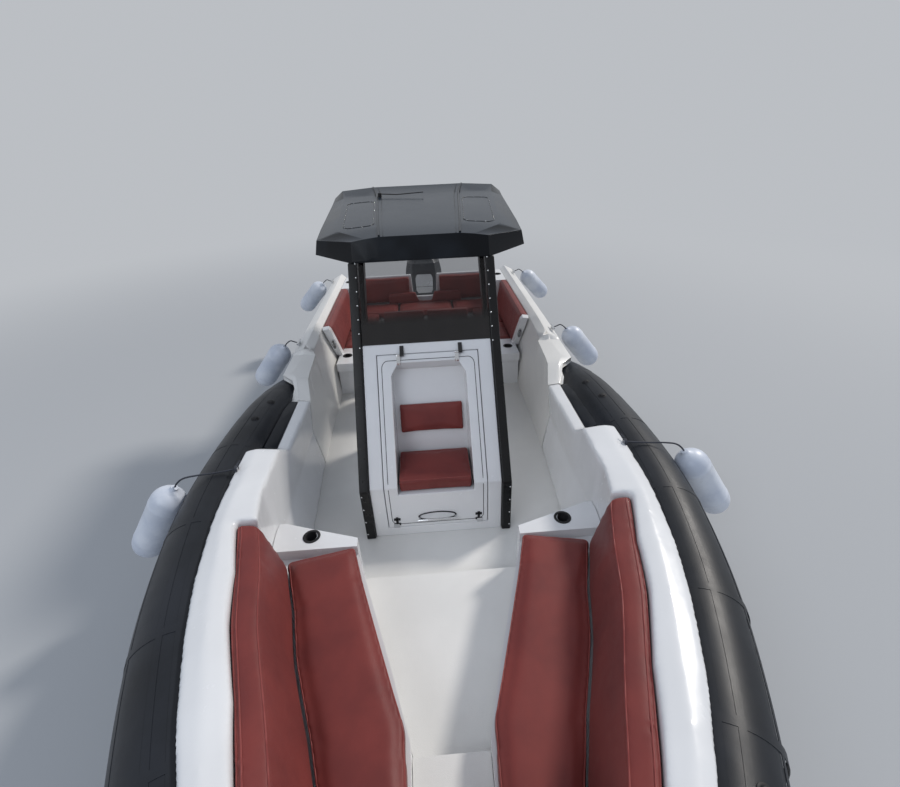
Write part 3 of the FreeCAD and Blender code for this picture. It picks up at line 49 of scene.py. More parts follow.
colours = {
    "gelcoat": (0.80, 0.81, 0.825), "gripGelcoat": (0.79, 0.785, 0.765),
    # The gelcoat's grime tone also serves as painted shade in its hollows
    "hollowShadeAndGrime": (0.52, 0.50, 0.46), "scuff": (0.55, 0.54, 0.50),
    "fabric": (0.015, 0.018, 0.025), "fabricDark": (0.007, 0.009, 0.013), "chalk": (0.16, 0.15, 0.15),
    "vinyl": (0.205, 0.036, 0.031), "vinylDark": (0.150, 0.026, 0.024),
    # The piping's red is a little lighter than the cushions' as a painted highlight along the seams
    "weltHighlight": (0.220, 0.042, 0.037), "weltHighlightDark": (0.17, 0.030, 0.027),
    "wornBlack": (0.04, 0.04, 0.045),
    # The roof's top colour is lighter and bluer than its sides as a painted sky reflection
    "roof": (0.018, 0.026, 0.038), "roofSide": (0.006, 0.007, 0.009), "roofCloud": (0.034, 0.044, 0.058),
    "roofDust": (0.16, 0.17, 0.19),
    "steel": (0.78, 0.79, 0.80), "steelDark": (0.60, 0.61, 0.63),
    "alloy": (0.24, 0.245, 0.26), "alloyDark": (0.16, 0.165, 0.175),
    "cowl": (0.055, 0.060, 0.068), "cowlPanel": (0.60, 0.62, 0.64), "salt": (0.42, 0.43, 0.44),
    "fender": (0.72, 0.76, 0.83), "fenderDark": (0.55, 0.60, 0.70), "fenderDirt": (0.33, 0.34, 0.36),
    "rope": (0.06, 0.065, 0.085), "ropeDark": (0.018, 0.020, 0.028),
    "pad": (0.30, 0.31, 0.33), "padGroove": (0.06, 0.06, 0.065), "padDust": (0.42, 0.42, 0.42),
    "sheet": (0.008, 0.006, 0.006), "sheetSmear": (0.014, 0.011, 0.011),
}


class Tone:
    # A shader socket that adds, subtracts and multiplies like a number

    def __init__(self, paint, socket):
        self.paint = paint
        self.socket = socket

    def math(self, operation, first, second):
        return Tone(self.paint, self.paint.node("ShaderNodeMath", {0: first, 1: second}, {"operation": operation})[0])

    def __add__(self, other):
        return self.math("ADD", self, other)

    def __sub__(self, other):
        return self.math("SUBTRACT", self, other)

    def __rsub__(self, other):
        return self.math("SUBTRACT", other, self)

    def __mul__(self, other):
        return self.math("MULTIPLY", self, other)

    __radd__ = __add__
    __rmul__ = __mul__

    def smooth(self, low, high, toLow=0.0, toHigh=1.0):
        values = {"Value": self, "From Min": low, "From Max": high, "To Min": toLow, "To Max": toHigh}
        settings = {"interpolation_type": "SMOOTHSTEP"}
        return Tone(self.paint, self.paint.node("ShaderNodeMapRange", values, settings)[0])


class Nodes:
    # A node tree whose nodes are added through one method

    def __init__(self, tree):
        self.tree = tree

    def put(self, socket, value):
        value = value.socket if isinstance(value, Tone) else value
        if isinstance(value, bpy.types.NodeSocket):
            self.tree.links.new(value, socket)
        else:
            socket.default_value = value

    def node(self, kind, values=None, settings=None):
        made = self.tree.nodes.new(kind)
        for key, value in (settings or {}).items():
            setattr(made, key, value)
        for key, value in (values or {}).items():
            self.put(made.inputs[key], value)
        return made.outputs


class Paint(Nodes):
    # A material, with the values that are the same all over it; the slot name it is given is not used

    def __init__(self, name, slotName, fixed):
        self.material = bpy.data.materials.new(name)
        self.material.use_nodes = True
        super().__init__(self.material.node_tree)
        self.shader = self.tree.nodes["Principled BSDF"]
        self.place = self.node("ShaderNodeTexCoord")["Object"]
        for key, value in fixed.items():
            self.put(self.shader.inputs[key], value)

    def finish(self, base, roughness):
        self.put(self.shader.inputs["Base Color"], base)
        self.put(self.shader.inputs["Roughness"], roughness)
        return self.material

    def noise(self, scale, detail, roughness=0.55, stretch=None):
        spot = self.node("ShaderNodeMapping", {"Vector": self.place, "Scale": stretch})[0] if stretch else self.place
        return Tone(self, self.node("ShaderNodeTexNoise", {"Vector": spot, "Scale": scale, "Detail": detail,
                                                           "Roughness": roughness})[0])

    def cells(self, scale, feature="F1"):
        made = self.node("ShaderNodeTexVoronoi", {"Vector": self.place, "Scale": scale}, {"feature": feature})
        return Tone(self, made["Distance"])

    def waves(self, scale, direction, distortion=0.0):
        made = self.node("ShaderNodeTexWave", {"Vector": self.place, "Scale": scale, "Distortion": distortion},
                         {"bands_direction": direction})
        return Tone(self, made["Fac"])

    def geometry(self, name):
        return self.node("ShaderNodeNewGeometry")[name]

    def upward(self, vector):
        return Tone(self, self.node("ShaderNodeSeparateXYZ", {0: vector})[2])

    def convexity(self):
        return Tone(self, self.geometry("Pointiness"))

    def mix(self, share, first, second):
        # The two are colours, or what an earlier mix gave
        first, second = ((*c, 1.0) if isinstance(c, tuple) else c for c in (first, second))
        return self.node("ShaderNodeMix", {0: share, 6: first, 7: second}, {"data_type": "RGBA"})[2]

    def bump(self, height, strength, distance, under=None):
        values = {"Height": height, "Strength": strength, "Distance": distance}
        normal = self.node("ShaderNodeBump", values if under is None else {**values, "Normal": under})[0]
        self.put(self.shader.inputs["Normal"], normal)
        return normal


def scaled(colour, level, lift=0.0):
    return tuple(c * level + lift for c in colour)


def gelcoatPaint(name, colour, grip=False):
    p = Paint(name, "gelcoat", {"Coat Weight": 0.15 if grip else 0.5, "Coat Roughness": 0.12})
    base = p.mix(p.noise(1.7, 4).smooth(0.35, 0.7), scaled(colour, 0.94), colour)
    # Hollows darken towards a grime tone: painted shade in corners and creases, mixed with grime
    base = p.mix((1 - p.convexity().smooth(0.40, 0.49)) * 0.55, base, colours["hollowShadeAndGrime"])
    base = p.mix(p.noise(9.0, 6, 0.7, (1, 1, 3)).smooth(0.62, 0.8) * 0.12, base, colours["scuff"])
    wave = p.bump(p.noise(5.0, 2), 0.25, 0.004)
    if grip:
        level = p.upward(p.geometry("Normal")).smooth(0.86, 0.95)
        p.bump(p.cells(260.0) * level, 0.35, 0.0012, wave)
    return p.finish(base, p.noise(14, 4) * 0.22 + (0.34 if grip else 0.12))


def fabricPaint():
    p = Paint("tubeFabric", "tube_fabric", {"Specular IOR Level": 0.35})
    base = p.mix(p.noise(2.3, 5, 0.6).smooth(0.3, 0.75), colours["fabricDark"], colours["fabric"])
    chalk = p.noise(26.0, 8, 0.75, (0.35, 1, 1)).smooth(0.63, 0.82) * p.noise(1.6, 2).smooth(0.45, 0.62)
    creases = p.bump(p.noise(3.0, 2, 0.5, (1, 1.6, 1.6)), 0.20, 0.010)
    p.bump(p.waves(420.0, "X") + p.waves(420.0, "Z"), 0.10, 0.0006, creases)
    return p.finish(p.mix(chalk * 0.5, base, colours["chalk"]), p.noise(7, 5, 0.6) * 0.25 + 0.28)


def vinylPaint(name, colour, dark):
    p = Paint(name, "red_vinyl", {"Specular IOR Level": 0.35, "Sheen Weight": 0.05})
    base = p.mix(p.noise(3.1, 4).smooth(0.3, 0.7), dark, colour)
    base = p.mix(p.convexity().smooth(0.52, 0.60) * 0.35, base, scaled(colour, 1.5, 0.01))
    creases = p.bump(p.noise(4.2, 3, 0.5), 0.22, 0.010)
    grain = p.cells(520.0, "DISTANCE_TO_EDGE").smooth(0.0, 0.10)
    p.bump(grain + p.noise(160, 2) * 0.4, 0.28, 0.0007, creases)
    return p.finish(base, p.noise(18, 4) * 0.2 + 0.36)


def blackPaint(name, slotName, value, rough):
    p = Paint(name, slotName, {"Specular IOR Level": 0.28})
    tint = (value, value, value * 1.1)
    base = p.mix(p.noise(5.0, 5, 0.6).smooth(0.4, 0.8) * 0.5, tint, scaled(tint, 2))
    p.bump(p.noise(900.0, 2), 0.10, 0.0004)
    return p.finish(p.mix(p.convexity().smooth(0.53, 0.62) * 0.3, base, colours["wornBlack"]),
                    p.noise(22, 4) * 0.25 + (rough - 0.08))


def roofPaint():
    p = Paint("roofShell", "roof_shell", {"Specular IOR Level": 0.14, "Coat Roughness": 0.08})
    cloud = p.noise(1.6, 3)
    up = p.upward(p.geometry("Normal")).smooth(0.90, 0.992)
    # Faces that look up get a lighter blue-grey than the dark sides: a painted sky reflection on the shell's top
    base = p.mix(up, colours["roofSide"], colours["roof"])
    base = p.mix(cloud.smooth(0.4, 0.75) * 0.35, base, colours["roofCloud"])
    base = p.mix(p.noise(40.0, 6, 0.7).smooth(0.62, 0.80) * 0.12, base, colours["roofDust"])
    p.put(p.shader.inputs["Coat Weight"], up * 0.08)
    p.bump(p.noise(3.2, 2), 0.15, 0.005)
    return p.finish(base, cloud * 0.16 + 0.14)


def steelPaint(name, slotName, rough):
    p = Paint(name, slotName, {"Metallic": 1.0})
    streak = p.noise(60.0, 4, 0.6, (1, 8, 1))
    p.bump(streak, 0.05, 0.0003)
    return p.finish(p.mix(streak.smooth(0.3, 0.8), colours["steelDark"], colours["steel"]),
                    streak * 0.14 + rough * 0.6)


def castPaint():
    p = Paint("castAlloy", "bare_alloy", {"Metallic": 0.7})
    cloud = p.noise(12.0, 5)
    p.bump(p.noise(300.0, 2), 0.15, 0.0006)
    return p.finish(p.mix(cloud.smooth(0.3, 0.7), colours["alloyDark"], colours["alloy"]), cloud * 0.25 + 0.3)


def motorPaint(name, colour):
    p = Paint(name, "motor_paint", {"Metallic": 0.45, "Coat Weight": 0.6})
    base = p.mix(p.cells(900.0).smooth(0.1, 0.6), scaled(colour, 1.25), colour)
    base = p.mix(p.noise(7.0, 6, 0.65).smooth(0.60, 0.8) * 0.25, base, colours["salt"])
    p.bump(p.noise(5.0, 2), 0.12, 0.004)
    return p.finish(base, p.noise(9.0, 4) * 0.2 + 0.2)


def fenderPaint():
    p = Paint("fenderVinyl", "fender_vinyl", {"Specular IOR Level": 0.55})
    base = p.mix(p.noise(5.0, 4).smooth(0.3, 0.7), colours["fenderDark"], colours["fender"])
    base = p.mix(p.noise(13.0, 7, 0.7, (1, 1, 0.5)).smooth(0.60, 0.78) * 0.3, base, colours["fenderDirt"])
    p.bump(p.noise(6.0, 3), 0.2, 0.005)
    return p.finish(base, p.noise(16, 4) * 0.2 + 0.3)


def ropePaint():
    p = Paint("braidedRope", "rope", {})
    strand = p.waves(75.0, "DIAGONAL", 1.5)
    p.bump(strand, 0.6, 0.0015)
    return p.finish(p.mix(strand.smooth(0.3, 0.7), colours["ropeDark"], colours["rope"]), strand * 0.2 + 0.65)


def padPaint():
    p = Paint("deckPad", "deck_pad", {})
    lines = p.waves(9.0, "Y")
    base = p.mix(lines.smooth(0.93, 0.97), colours["pad"], colours["padGroove"])
    base = p.mix(p.noise(8.0, 5).smooth(0.45, 0.8) * 0.3, base, colours["padDust"])
    p.bump(1 - lines.smooth(0.90, 0.98) + p.noise(350, 2) * 0.15, 0.4, 0.002)
    return p.finish(base, p.noise(25.0, 3) * 0.2 + 0.6)


def screenPaint():
    # Nearly opaque and dark at the foot, as painted shade for the shaded dash and seats behind it, and clear above a
    # band of its height
    p = Paint("tintedSheet", "tinted_sheet", {"Specular IOR Level": 0.5})
    smear = p.noise(7.0, 4)
    p.put(p.shader.inputs["Alpha"], p.upward(p.place).smooth(1.80, 1.90, 0.96, 0.28))
    return p.finish(p.mix(smear.smooth(0.4, 0.8), colours["sheet"], colours["sheetSmear"]), smear * 0.08 + 0.03)


white = gelcoatPaint("gelcoat", colours["gelcoat"])
whiteGrip = gelcoatPaint("gelcoatGrip", colours["gripGelcoat"], True)
fabric = fabricPaint()
red = vinylPaint("redVinyl", colours["vinyl"], colours["vinylDark"])
# Piping vinyl, lighter than the cushions as a painted highlight
redWelt = vinylPaint("redWelt", colours["weltHighlight"], colours["weltHighlightDark"])
black = blackPaint("blackFrame", "black_frame", 0.006, 0.26)
trim = blackPaint("blackPlastic", "black_plastic", 0.016, 0.5)
rubber = blackPaint("rubberStrake", "black_plastic", 0.02, 0.62)
roofMaterial = roofPaint()
steel = steelPaint("polishedSteel", "steel", 0.14)
propSteel = steelPaint("propSteel", "prop_steel", 0.3)
alloy = castPaint()
motor = motorPaint("motorPaint", colours["cowl"])
motorLight = motorPaint("motorPanel", colours["cowlPanel"])
fenderMaterial = fenderPaint()
rope = ropePaint()
padMaterial = padPaint()
screen = screenPaint()
print("materials made")


# Mesh helpers

def newObject(name, data):
    piece = bpy.data.objects.new(name, data)
    scene.collection.objects.link(piece)
    return piece


def evaluated(piece):
    # Plain mesh of an object with its modifiers applied
    bpy.context.view_layer.update()
    return bpy.data.meshes.new_from_object(piece.evaluated_get(bpy.context.evaluated_depsgraph_get()))


def smoothShaded(mesh, angle):
    mesh.polygons.foreach_set("use_smooth", [True] * len(mesh.polygons))
    mesh.set_sharp_from_angle(angle=radians(angle))


def addObject(name, mesh, material, body="boat", smoothAngle=60):
    piece = newObject(name, mesh)
    mesh.materials.clear()
    mesh.materials.append(material)
    smoothShaded(mesh, smoothAngle)
    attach(piece, body)
    return piece


def meshOf(name, part):
    # A mesh from a part, which is a list of points and a list of faces
    points, faces = part
    mesh = bpy.data.meshes.new(name)
    mesh.from_pydata([tuple(p) for p in points], [], faces)
    made = bmesh.new()
    made.from_mesh(mesh)
    bmesh.ops.remove_doubles(made, verts=made.verts, dist=1e-6)
    bmesh.ops.recalc_face_normals(made, faces=made.faces)
    made.to_mesh(mesh)
    made.free()
    return mesh


def addPart(name, part, material, body="boat", smoothAngle=60):
    return addObject(name, meshOf(name, part), material, body, smoothAngle)


def cleaned(node):
    # Merged copy of a CAD node's mesh with its flat faces whole
    made = bmesh.new()
    made.from_mesh(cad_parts[node].data)
    bmesh.ops.remove_doubles(made, verts=made.verts, dist=2e-5)
    bmesh.ops.dissolve_limit(made, angle_limit=radians(0.6), verts=made.verts, edges=made.edges)
    bmesh.ops.recalc_face_normals(made, faces=made.faces)
    return made


def finished(made, name):
    mesh = bpy.data.meshes.new(name)
    made.to_mesh(mesh)
    made.free()
    return mesh


def baked(mesh, *steps):
    # The mesh with modifiers applied. Each step is a kind and its settings.
    piece = newObject("baking", mesh)
    for kind, settings in steps:
        modifier = piece.modifiers.new(kind, kind)
        for key, value in settings.items():
            setattr(modifier, key, value)
    result = evaluated(piece)
    bpy.data.objects.remove(piece)
    return result


# Edges sharper than the angle are rounded, in more steps from the radius fineFrom on, and flats stay flat from
# flatFrom on. The deck's mouldings, whose thin rims a bevel would tear, are remeshed and smoothed instead.
edgeFinish = {"angle": 28, "fineFrom": 0.010, "flatFrom": 0.004, "smoothAngle": 35, "voxel": 0.0135, "smoothing": 12}


def rounded(mesh, width, segments=2):
    return baked(mesh, ("BEVEL", {"width": width, "segments": segments, "limit_method": "ANGLE",
                                  "angle_limit": radians(edgeFinish["angle"]), "use_clamp_overlap": True}))


def circle(count):
    # Equal angles all round
    return [2 * pi * k / count for k in range(count)]


def ringFaces(rings, sides, closed=False):
    # Faces between neighbouring rings of points, with the ends filled unless the rings close up
    faces = []
    for i in range(rings if closed else rings - 1):
        j = (i + 1) % rings
        for k in range(sides):
            m = (k + 1) % sides
            faces.append((i * sides + k, i * sides + m, j * sides + m, j * sides + k))
    if not closed:
        faces.append(tuple(range(sides))[::-1])
        faces.append(tuple(range((rings - 1) * sides, rings * sides)))
    return faces


def prism(outline, reach):
    # An outline drawn out along a vector
    count = len(outline)
    faces = [tuple(range(count))[::-1], tuple(range(count, 2 * count))]
    faces += [(i, (i + 1) % count, (i + 1) % count + count, i + count) for i in range(count)]
    return outline + [p + Vector(reach) for p in outline], faces


def tubeAlong(line, radius, sides=8, closed=False, flatten=1.0):
    # A round bar through a line of points
    count = len(line)
    points = []
    side = None
    for i, p in enumerate(line):
        if closed:
            ahead = line[(i + 1) % count] - line[i - 1]
        else:
            ahead = line[min(i + 1, count - 1)] - line[max(i - 1, 0)]
        ahead.normalize()
        side = ahead.orthogonal() if side is None else side - ahead * side.dot(ahead)
        if side.length < 1e-6:
            side = ahead.orthogonal()
        side.normalize()
        up = ahead.cross(side)
        points += [p + side * (cos(a) * radius) + up * (sin(a) * radius * flatten) for a in circle(sides)]
    return points, ringFaces(count, sides, closed)


def turnedAlong(profile, origin, axis, sides=40):
    # A solid of revolution, by its distances along the axis and radii
    axis = Vector(axis).normalized()
    side = axis.orthogonal().normalized()
    up = axis.cross(side)
    points = [Vector(origin) + axis * along + (side * cos(a) + up * sin(a)) * radius
              for along, radius in profile for a in circle(sides)]
    return points, ringFaces(len(profile), sides)


def joined(parts):
    points = []
    faces = []
    for somePoints, someFaces in parts:
        faces += [tuple(i + len(points) for i in face) for face in someFaces]
        points += list(somePoints)
    return points, faces


def across(points):
    # The points' mirror images on the other side of the boat
    return [Vector((p[0], -p[1], p[2])) for p in points]


def mirrored(part):
    points, faces = part
    return across(points), [tuple(reversed(f)) for f in faces]


def bothSides(parts):
    one = joined(parts)
    return joined([one, mirrored(one)])


def resampled(line, step):
    result = [line[0]]
    for a, b in zip(line, line[1:]):
        count = max(1, int((b - a).length / step))
        result += [a.lerp(b, (i + 1) / count) for i in range(count)]
    return result


def relaxed(line, closed, times=3):
    for turn in range(times):
        line = [line[i] if not closed and i in (0, len(line) - 1) else
                (line[i - 1] + line[i] * 2 + line[(i + 1) % len(line)]) / 4 for i in range(len(line))]
    return line


# Camera, fitted to the photograph: angles in degrees, lens and sensor in millimetres, place in metres
cameraFit = {"pitch": 29.78, "yaw": 2.45, "roll": 2.541, "lens": 18.4, "sensor": 36, "place": (7.6, 0.023, 3.15)}

pitch, yaw, roll = (radians(cameraFit[key]) for key in ("pitch", "yaw", "roll"))
ahead = Vector((-cos(yaw) * cos(pitch), sin(yaw) * cos(pitch), -sin(pitch)))
right = Vector((sin(yaw), cos(yaw), 0))
down = ahead.cross(right)
level = right * cos(roll) + down * sin(roll)
below = -right * sin(roll) + down * cos(roll)
camera = newObject("camera", bpy.data.cameras.new("camera"))
camera.data.lens = cameraFit["lens"]
camera.data.sensor_width = cameraFit["sensor"]
camera.data.sensor_fit = "HORIZONTAL"
camera.data.clip_end = 200
turned = Matrix((level, -below, -ahead)).transposed().to_4x4()
camera.matrix_world = Matrix.Translation(cameraFit["place"]) @ turned
scene.camera = camera

# Free cords: the fender lines, with each pair's length in metres and the points of its port line's route in
# millimetres, from the deck to the fender
fenderLines = {
    "diameter": 0.012,
    "pairs": [
        (0.445, [(4960, 1396.2, 1141), (4979, 1527, 1133), (5000, 1660, 1140), (5016.6, 1770.2, 1129.7),
                 (5023.6, 1808.7, 1071.7)]),
        (0.178, [(2768, 1447.3, 1164.7), (2778, 1478, 1180), (2814, 1500, 1212), (2846.1, 1536.9, 1195.1),
                 (2836.9, 1565.2, 1160)]),
        (0.176, [(366, 1447.6, 1169.8), (378, 1477, 1184), (415, 1498, 1213), (445, 1536.5, 1192.5),
                 (430.3, 1565.8, 1160.2)]),
    ],
}


def addLine(number, route, side):
    route = [(x / 1000, side * y / 1000, z / 1000) for x, y, z in route]
    curve = bpy.data.curves.new("fenderLine%d" % number, "CURVE")
    curve.dimensions = "3D"
    spline = curve.splines.new("NURBS")
    spline.points.add(len(route) - 1)
    for point, place in zip(spline.points, route):
        point.co = (*place, 1)
    spline.order_u = 3
    spline.use_endpoint_u = True
    spline.resolution_u = 16
    curve.bevel_depth = fenderLines["diameter"] / 2
    curve.bevel_resolution = 3
    curve.use_fill_caps = True
    curve.materials.append(rope)
    line = newObject("fender_line_%d_braid" % number, curve)
    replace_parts(line, "fender_line_%d" % number)
    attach(line, "boat")


for pair, (length, route) in enumerate(fenderLines["pairs"]):
    addLine(2 * pair + 1, route, 1)
    addLine(2 * pair + 2, route, -1)
print("fender lines laid")


# Tubes, in metres and degrees. Stations: x, y, z and radius. Tip: how far back each ring lies and its share of the
# first radius. Tapes along the tube: angle from straight outward, width, start and height. Bands round it: x.
# Valves: x and angle, and their profile by distance out and radius.
tubes = {
    "stations": [
        (2.90, 1.395, 0.790, 0.085), (3.45, 1.450, 0.835, 0.195), (4.00, 1.505, 0.860, 0.240),
        (5.10, 1.525, 0.870, 0.250), (5.90, 1.390, 0.880, 0.250), (6.60, 1.150, 0.905, 0.245),
        (7.20, 0.855, 0.940, 0.235), (7.70, 0.515, 0.970, 0.222), (8.00, 0.215, 0.995, 0.212),
        (8.08, 0.0, 1.0, 0.206),
    ],
    "bowTangent": (0, -1, 0, 0),
    "tip": [(0.030, 0.30), (0.022, 0.72)],
    "flat": 0.72,    # share of the radius at which the tube's back is flat against the hull
    "rings": 90, "fineness": 45,
    "tapes": [(104, 0.05, 0.02, 0.0018), (82, 0.032, 0.25, 0.0020), (40, 0.020, 1.2, 0.0015),
              (-62, 0.05, 0.3, 0.0022)],
    "bands": (3.62, 4.60, 5.42, 6.17, 6.76, 7.30, 7.80),
    "bandWidth": 0.045, "bandHeight": 0.0022, "bandAngles": (-120, 118),
    "valves": [(3.94, 106), (4.24, 98), (6.95, 70)],
    "valveProfile": [(-0.004, 0.034), (0.003, 0.034), (0.005, 0.031), (0.005, 0.024), (0.012, 0.022),
                     (0.015, 0.018), (0.015, 0.005)],
}


class Spine:
    # A smooth line through stations, read by its length from the first one

    def __init__(self, stations, endTangent):
        self.rows = [Vector(row) for row in stations]
        self.marks = [0.0]
        for a, b in zip(self.rows, self.rows[1:]):
            self.marks.append(self.marks[-1] + (b - a).to_3d().length)
        self.length = self.marks[-1]
        last = len(self.rows) - 1
        ends = [(max(i - 1, 0), min(i + 1, last)) for i in range(last + 1)]
        self.slopes = [(self.rows[b] - self.rows[a]) / (self.marks[b] - self.marks[a]) for a, b in ends]
        self.slopes[last] = Vector(endTangent)

    def at(self, mark):
        i = 0
        while i < len(self.marks) - 2 and mark > self.marks[i + 1]:
            i += 1
        span = self.marks[i + 1] - self.marks[i]
        t = (mark - self.marks[i]) / span
        a, b = self.rows[i], self.rows[i + 1]
        p, q = self.slopes[i] * span, self.slopes[i + 1] * span
        t2, t3 = t * t, t * t * t
        return a * (2 * t3 - 3 * t2 + 1) + p * (t3 - 2 * t2 + t) + b * (3 * t2 - 2 * t3) + q * (t3 - t2)

    def ahead(self, mark):
        step = 0.004
        return (self.at(min(mark + step, self.length)) - self.at(max(mark - step, 0))).to_3d().normalized()

    def markAt(self, x):
        low, high = 0.0, self.length
        for turn in range(30):
            middle = (low + high) / 2
            if self.at(middle)[0] < x:
                low = middle
            else:
                high = middle
        return low


spine = Spine(tubes["stations"], tubes["bowTangent"])

# The deck's edge follows the tube's smooth line, where the solids run straight between stations. Cover: x and how
# far inside the tube's centre the edge lies. The bend starts at a share of the half width and grows over another.
deckEdge = {
    "cover": [(4.0, 0.150), (5.1, 0.120), (5.9, 0.090), (6.6, 0.070), (8.08, 0.070)],
    "stations": [5.087, 5.220, 5.396, 5.480, 5.492, 5.856, 6.170, 6.532, 6.880, 7.050],
    "start": 5.10, "end": 7.90, "step": 0.02, "cut": 0.1,
    "fadeIn": 0.1, "fadeOut": 0.15, "bendFrom": 0.42, "bendOver": 0.20,
}
bowStart, bowEnd, bowStep = (deckEdge[key] for key in ("start", "end", "step"))


def interpolated(rows, x):
    for a, b in zip(rows, rows[1:]):
        if x <= b[0]:
            return a[1] + (b[1] - a[1]) * (x - a[0]) / (b[0] - a[0])
    return rows[-1][1]


def edgePoint(i):
    # Corner of the solids' deck edge at a station of the tube
    before, here, after = (Vector(tubes["stations"][i + k][:2]) for k in (-1, 0, 1))
    ahead = ((after - here).normalized() + (here - before).normalized()).normalized()
    cover = interpolated(deckEdge["cover"], here.x)
    return here.x + ahead.y * cover, here.y - ahead.x * cover


edgeCorners = [edgePoint(i) for i in range(2, len(tubes["stations"]) - 1)]
solidEdge = [(x, interpolated(edgeCorners, x)) for x in deckEdge["stations"]]
solidEdge += [corner for corner in edgeCorners if corner[0] > deckEdge["stations"][-1]]


def smoothEdge(x):
    mark = spine.markAt(x)
    for turn in range(6):
        ahead = spine.ahead(mark)
        cover = interpolated(deckEdge["cover"], spine.at(mark)[0])
        place = spine.at(mark).to_3d() - Vector((-ahead.y, ahead.x, 0)).normalized() * cover
        mark += (x - place.x) * 0.9
    return place.y


def bowRow(x):
    # Half width of the solids' edge, and the share by which the smooth one stands outside it
    fade = min(1.0, (x - bowStart) / deckEdge["fadeIn"], (bowEnd - x) / deckEdge["fadeOut"])
    straight = interpolated(solidEdge, x)
    return straight, (smoothEdge(x) / straight - 1) * fade


bowSteps = round((bowEnd - bowStart) / bowStep)
bowRows = [bowRow(bowStart + bowStep * i) for i in range(bowSteps + 1)]


def bend(mesh):
    for vertex in mesh.vertices:
        place = (vertex.co.x - bowStart) / bowStep
        if 0 < place < bowSteps:
            i = int(place)
            t = place - i
            straight, growth = (a * (1 - t) + b * t for a, b in zip(bowRows[i], bowRows[i + 1]))
            weight = (abs(vertex.co.y) / straight - deckEdge["bendFrom"]) / deckEdge["bendOver"]
            weight = min(1.0, max(0.0, weight))
            vertex.co.y *= 1 + growth * weight * weight * (3 - 2 * weight)


def sliced(mesh):
    # Cuts a mesh across at equal steps of the bow, so that it can bend
    made = bmesh.new()
    made.from_mesh(mesh)
    bmesh.ops.triangulate(made, faces=[f for f in made.faces if len(f.verts) > 4], ngon_method="EAR_CLIP")
    for i in range(1, round((bowEnd - bowStart) / deckEdge["cut"])):
        whole = made.verts[:] + made.edges[:] + made.faces[:]
        bmesh.ops.bisect_plane(made, geom=whole, dist=1e-5, plane_no=(1, 0, 0),
                               plane_co=(bowStart + deckEdge["cut"] * i, 0, 0))
    return finished(made, mesh.name)


# Hard pieces straight from the frame, by finish and body, with their edge radii in metres
hardPieces = [
    (white, "boat", {"hull": 0.008, "coaming_port": 0.012, "coaming_starboard": 0.012, "aft_bulkhead": 0.010,
                     "aft_seat_base": 0.010, "bow_seat_base": 0.012, "console": 0.008, "helm_seat_base": 0.012}),
    (white, "door", {"console_door": 0.010}),
    (whiteGrip, "boat", {"sole": 0.0, "bow_floor": 0.010, "side_deck_port": 0.012, "side_deck_starboard": 0.012,
                         "bow_deck": 0.010}),
    (whiteGrip, "lid", {"anchor_lid": 0.005}),
    (fabric, "boat", {"tube_aprons": 0.003}),
    (padMaterial, "boat", {"swim_platforms": 0.006}),
    (steel, "boat", {"hinge_leaves": 0.001, "cleats": 0.004, "towing_eyes": 0.002, "anchor_roller": 0.002,
                     "stern_rail": 0.0}),
    (steel, "door", {"door_fittings": 0.0015}),
    (steel, "lid", {"lid_fittings": 0.001}),
    (black, "boat", {"t_top_legs": 0.010}),
    (roofMaterial, "boat", {"hardtop": 0.014}),
    (screen, "boat", {"windscreen": 0.0}),
    (trim, "boat", {"antenna": 0.0, "helm_controls": 0.004, "cup_holders": 0.001, "speakers": 0.002}),
    (trim, "wheel", {"steering_wheel": 0.0015}),
    (rubber, "boat", {"rub_strakes": 0.006}),
    (alloy, "boat", {"clamp_bracket": 0.004}),
    (alloy, "swivel", {"swivel_bracket": 0.006}),
    (motor, "outboard", {"outboard_cowl": 0.030, "outboard_leg": 0.006}),
    (propSteel, "propeller", {"propeller": 0.0015}),
]
# How pieces follow the bow's smooth line
bowPieces = {"hull": "sliced", "bow_seat_base": "sliced", "coaming_port": "moulded", "coaming_starboard": "moulded",
             "bow_deck": "moulded"}


def dress(node, material, body, width):
    # A CAD node with softened edges and a finish
    curved = bowPieces.get(node)
    mesh = finished(cleaned(node), node + "_dressed")
    if curved == "moulded":
        mesh = baked(mesh, ("REMESH", {"mode": "VOXEL", "voxel_size": edgeFinish["voxel"]}),
                     ("SMOOTH", {"iterations": edgeFinish["smoothing"]}))
        bend(mesh)
    elif width:
        mesh = rounded(mesh, width, 3 if width >= edgeFinish["fineFrom"] else 2)
    if curved == "sliced":
        mesh = sliced(mesh)
        bend(mesh)
    if width >= edgeFinish["flatFrom"] and curved != "moulded":
        smoothShaded(mesh, edgeFinish["smoothAngle"])
        mesh = baked(mesh, ("WEIGHTED_NORMAL", {"keep_sharp": True, "weight": 50}))
    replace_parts(addObject(node + "_finished", mesh, material, body, edgeFinish["smoothAngle"]), node)


for material, body, radii in hardPieces:
    for node, width in radii.items():
        dress(node, material, body, width)
print("hard pieces dressed")


# What is made with Geometry Nodes

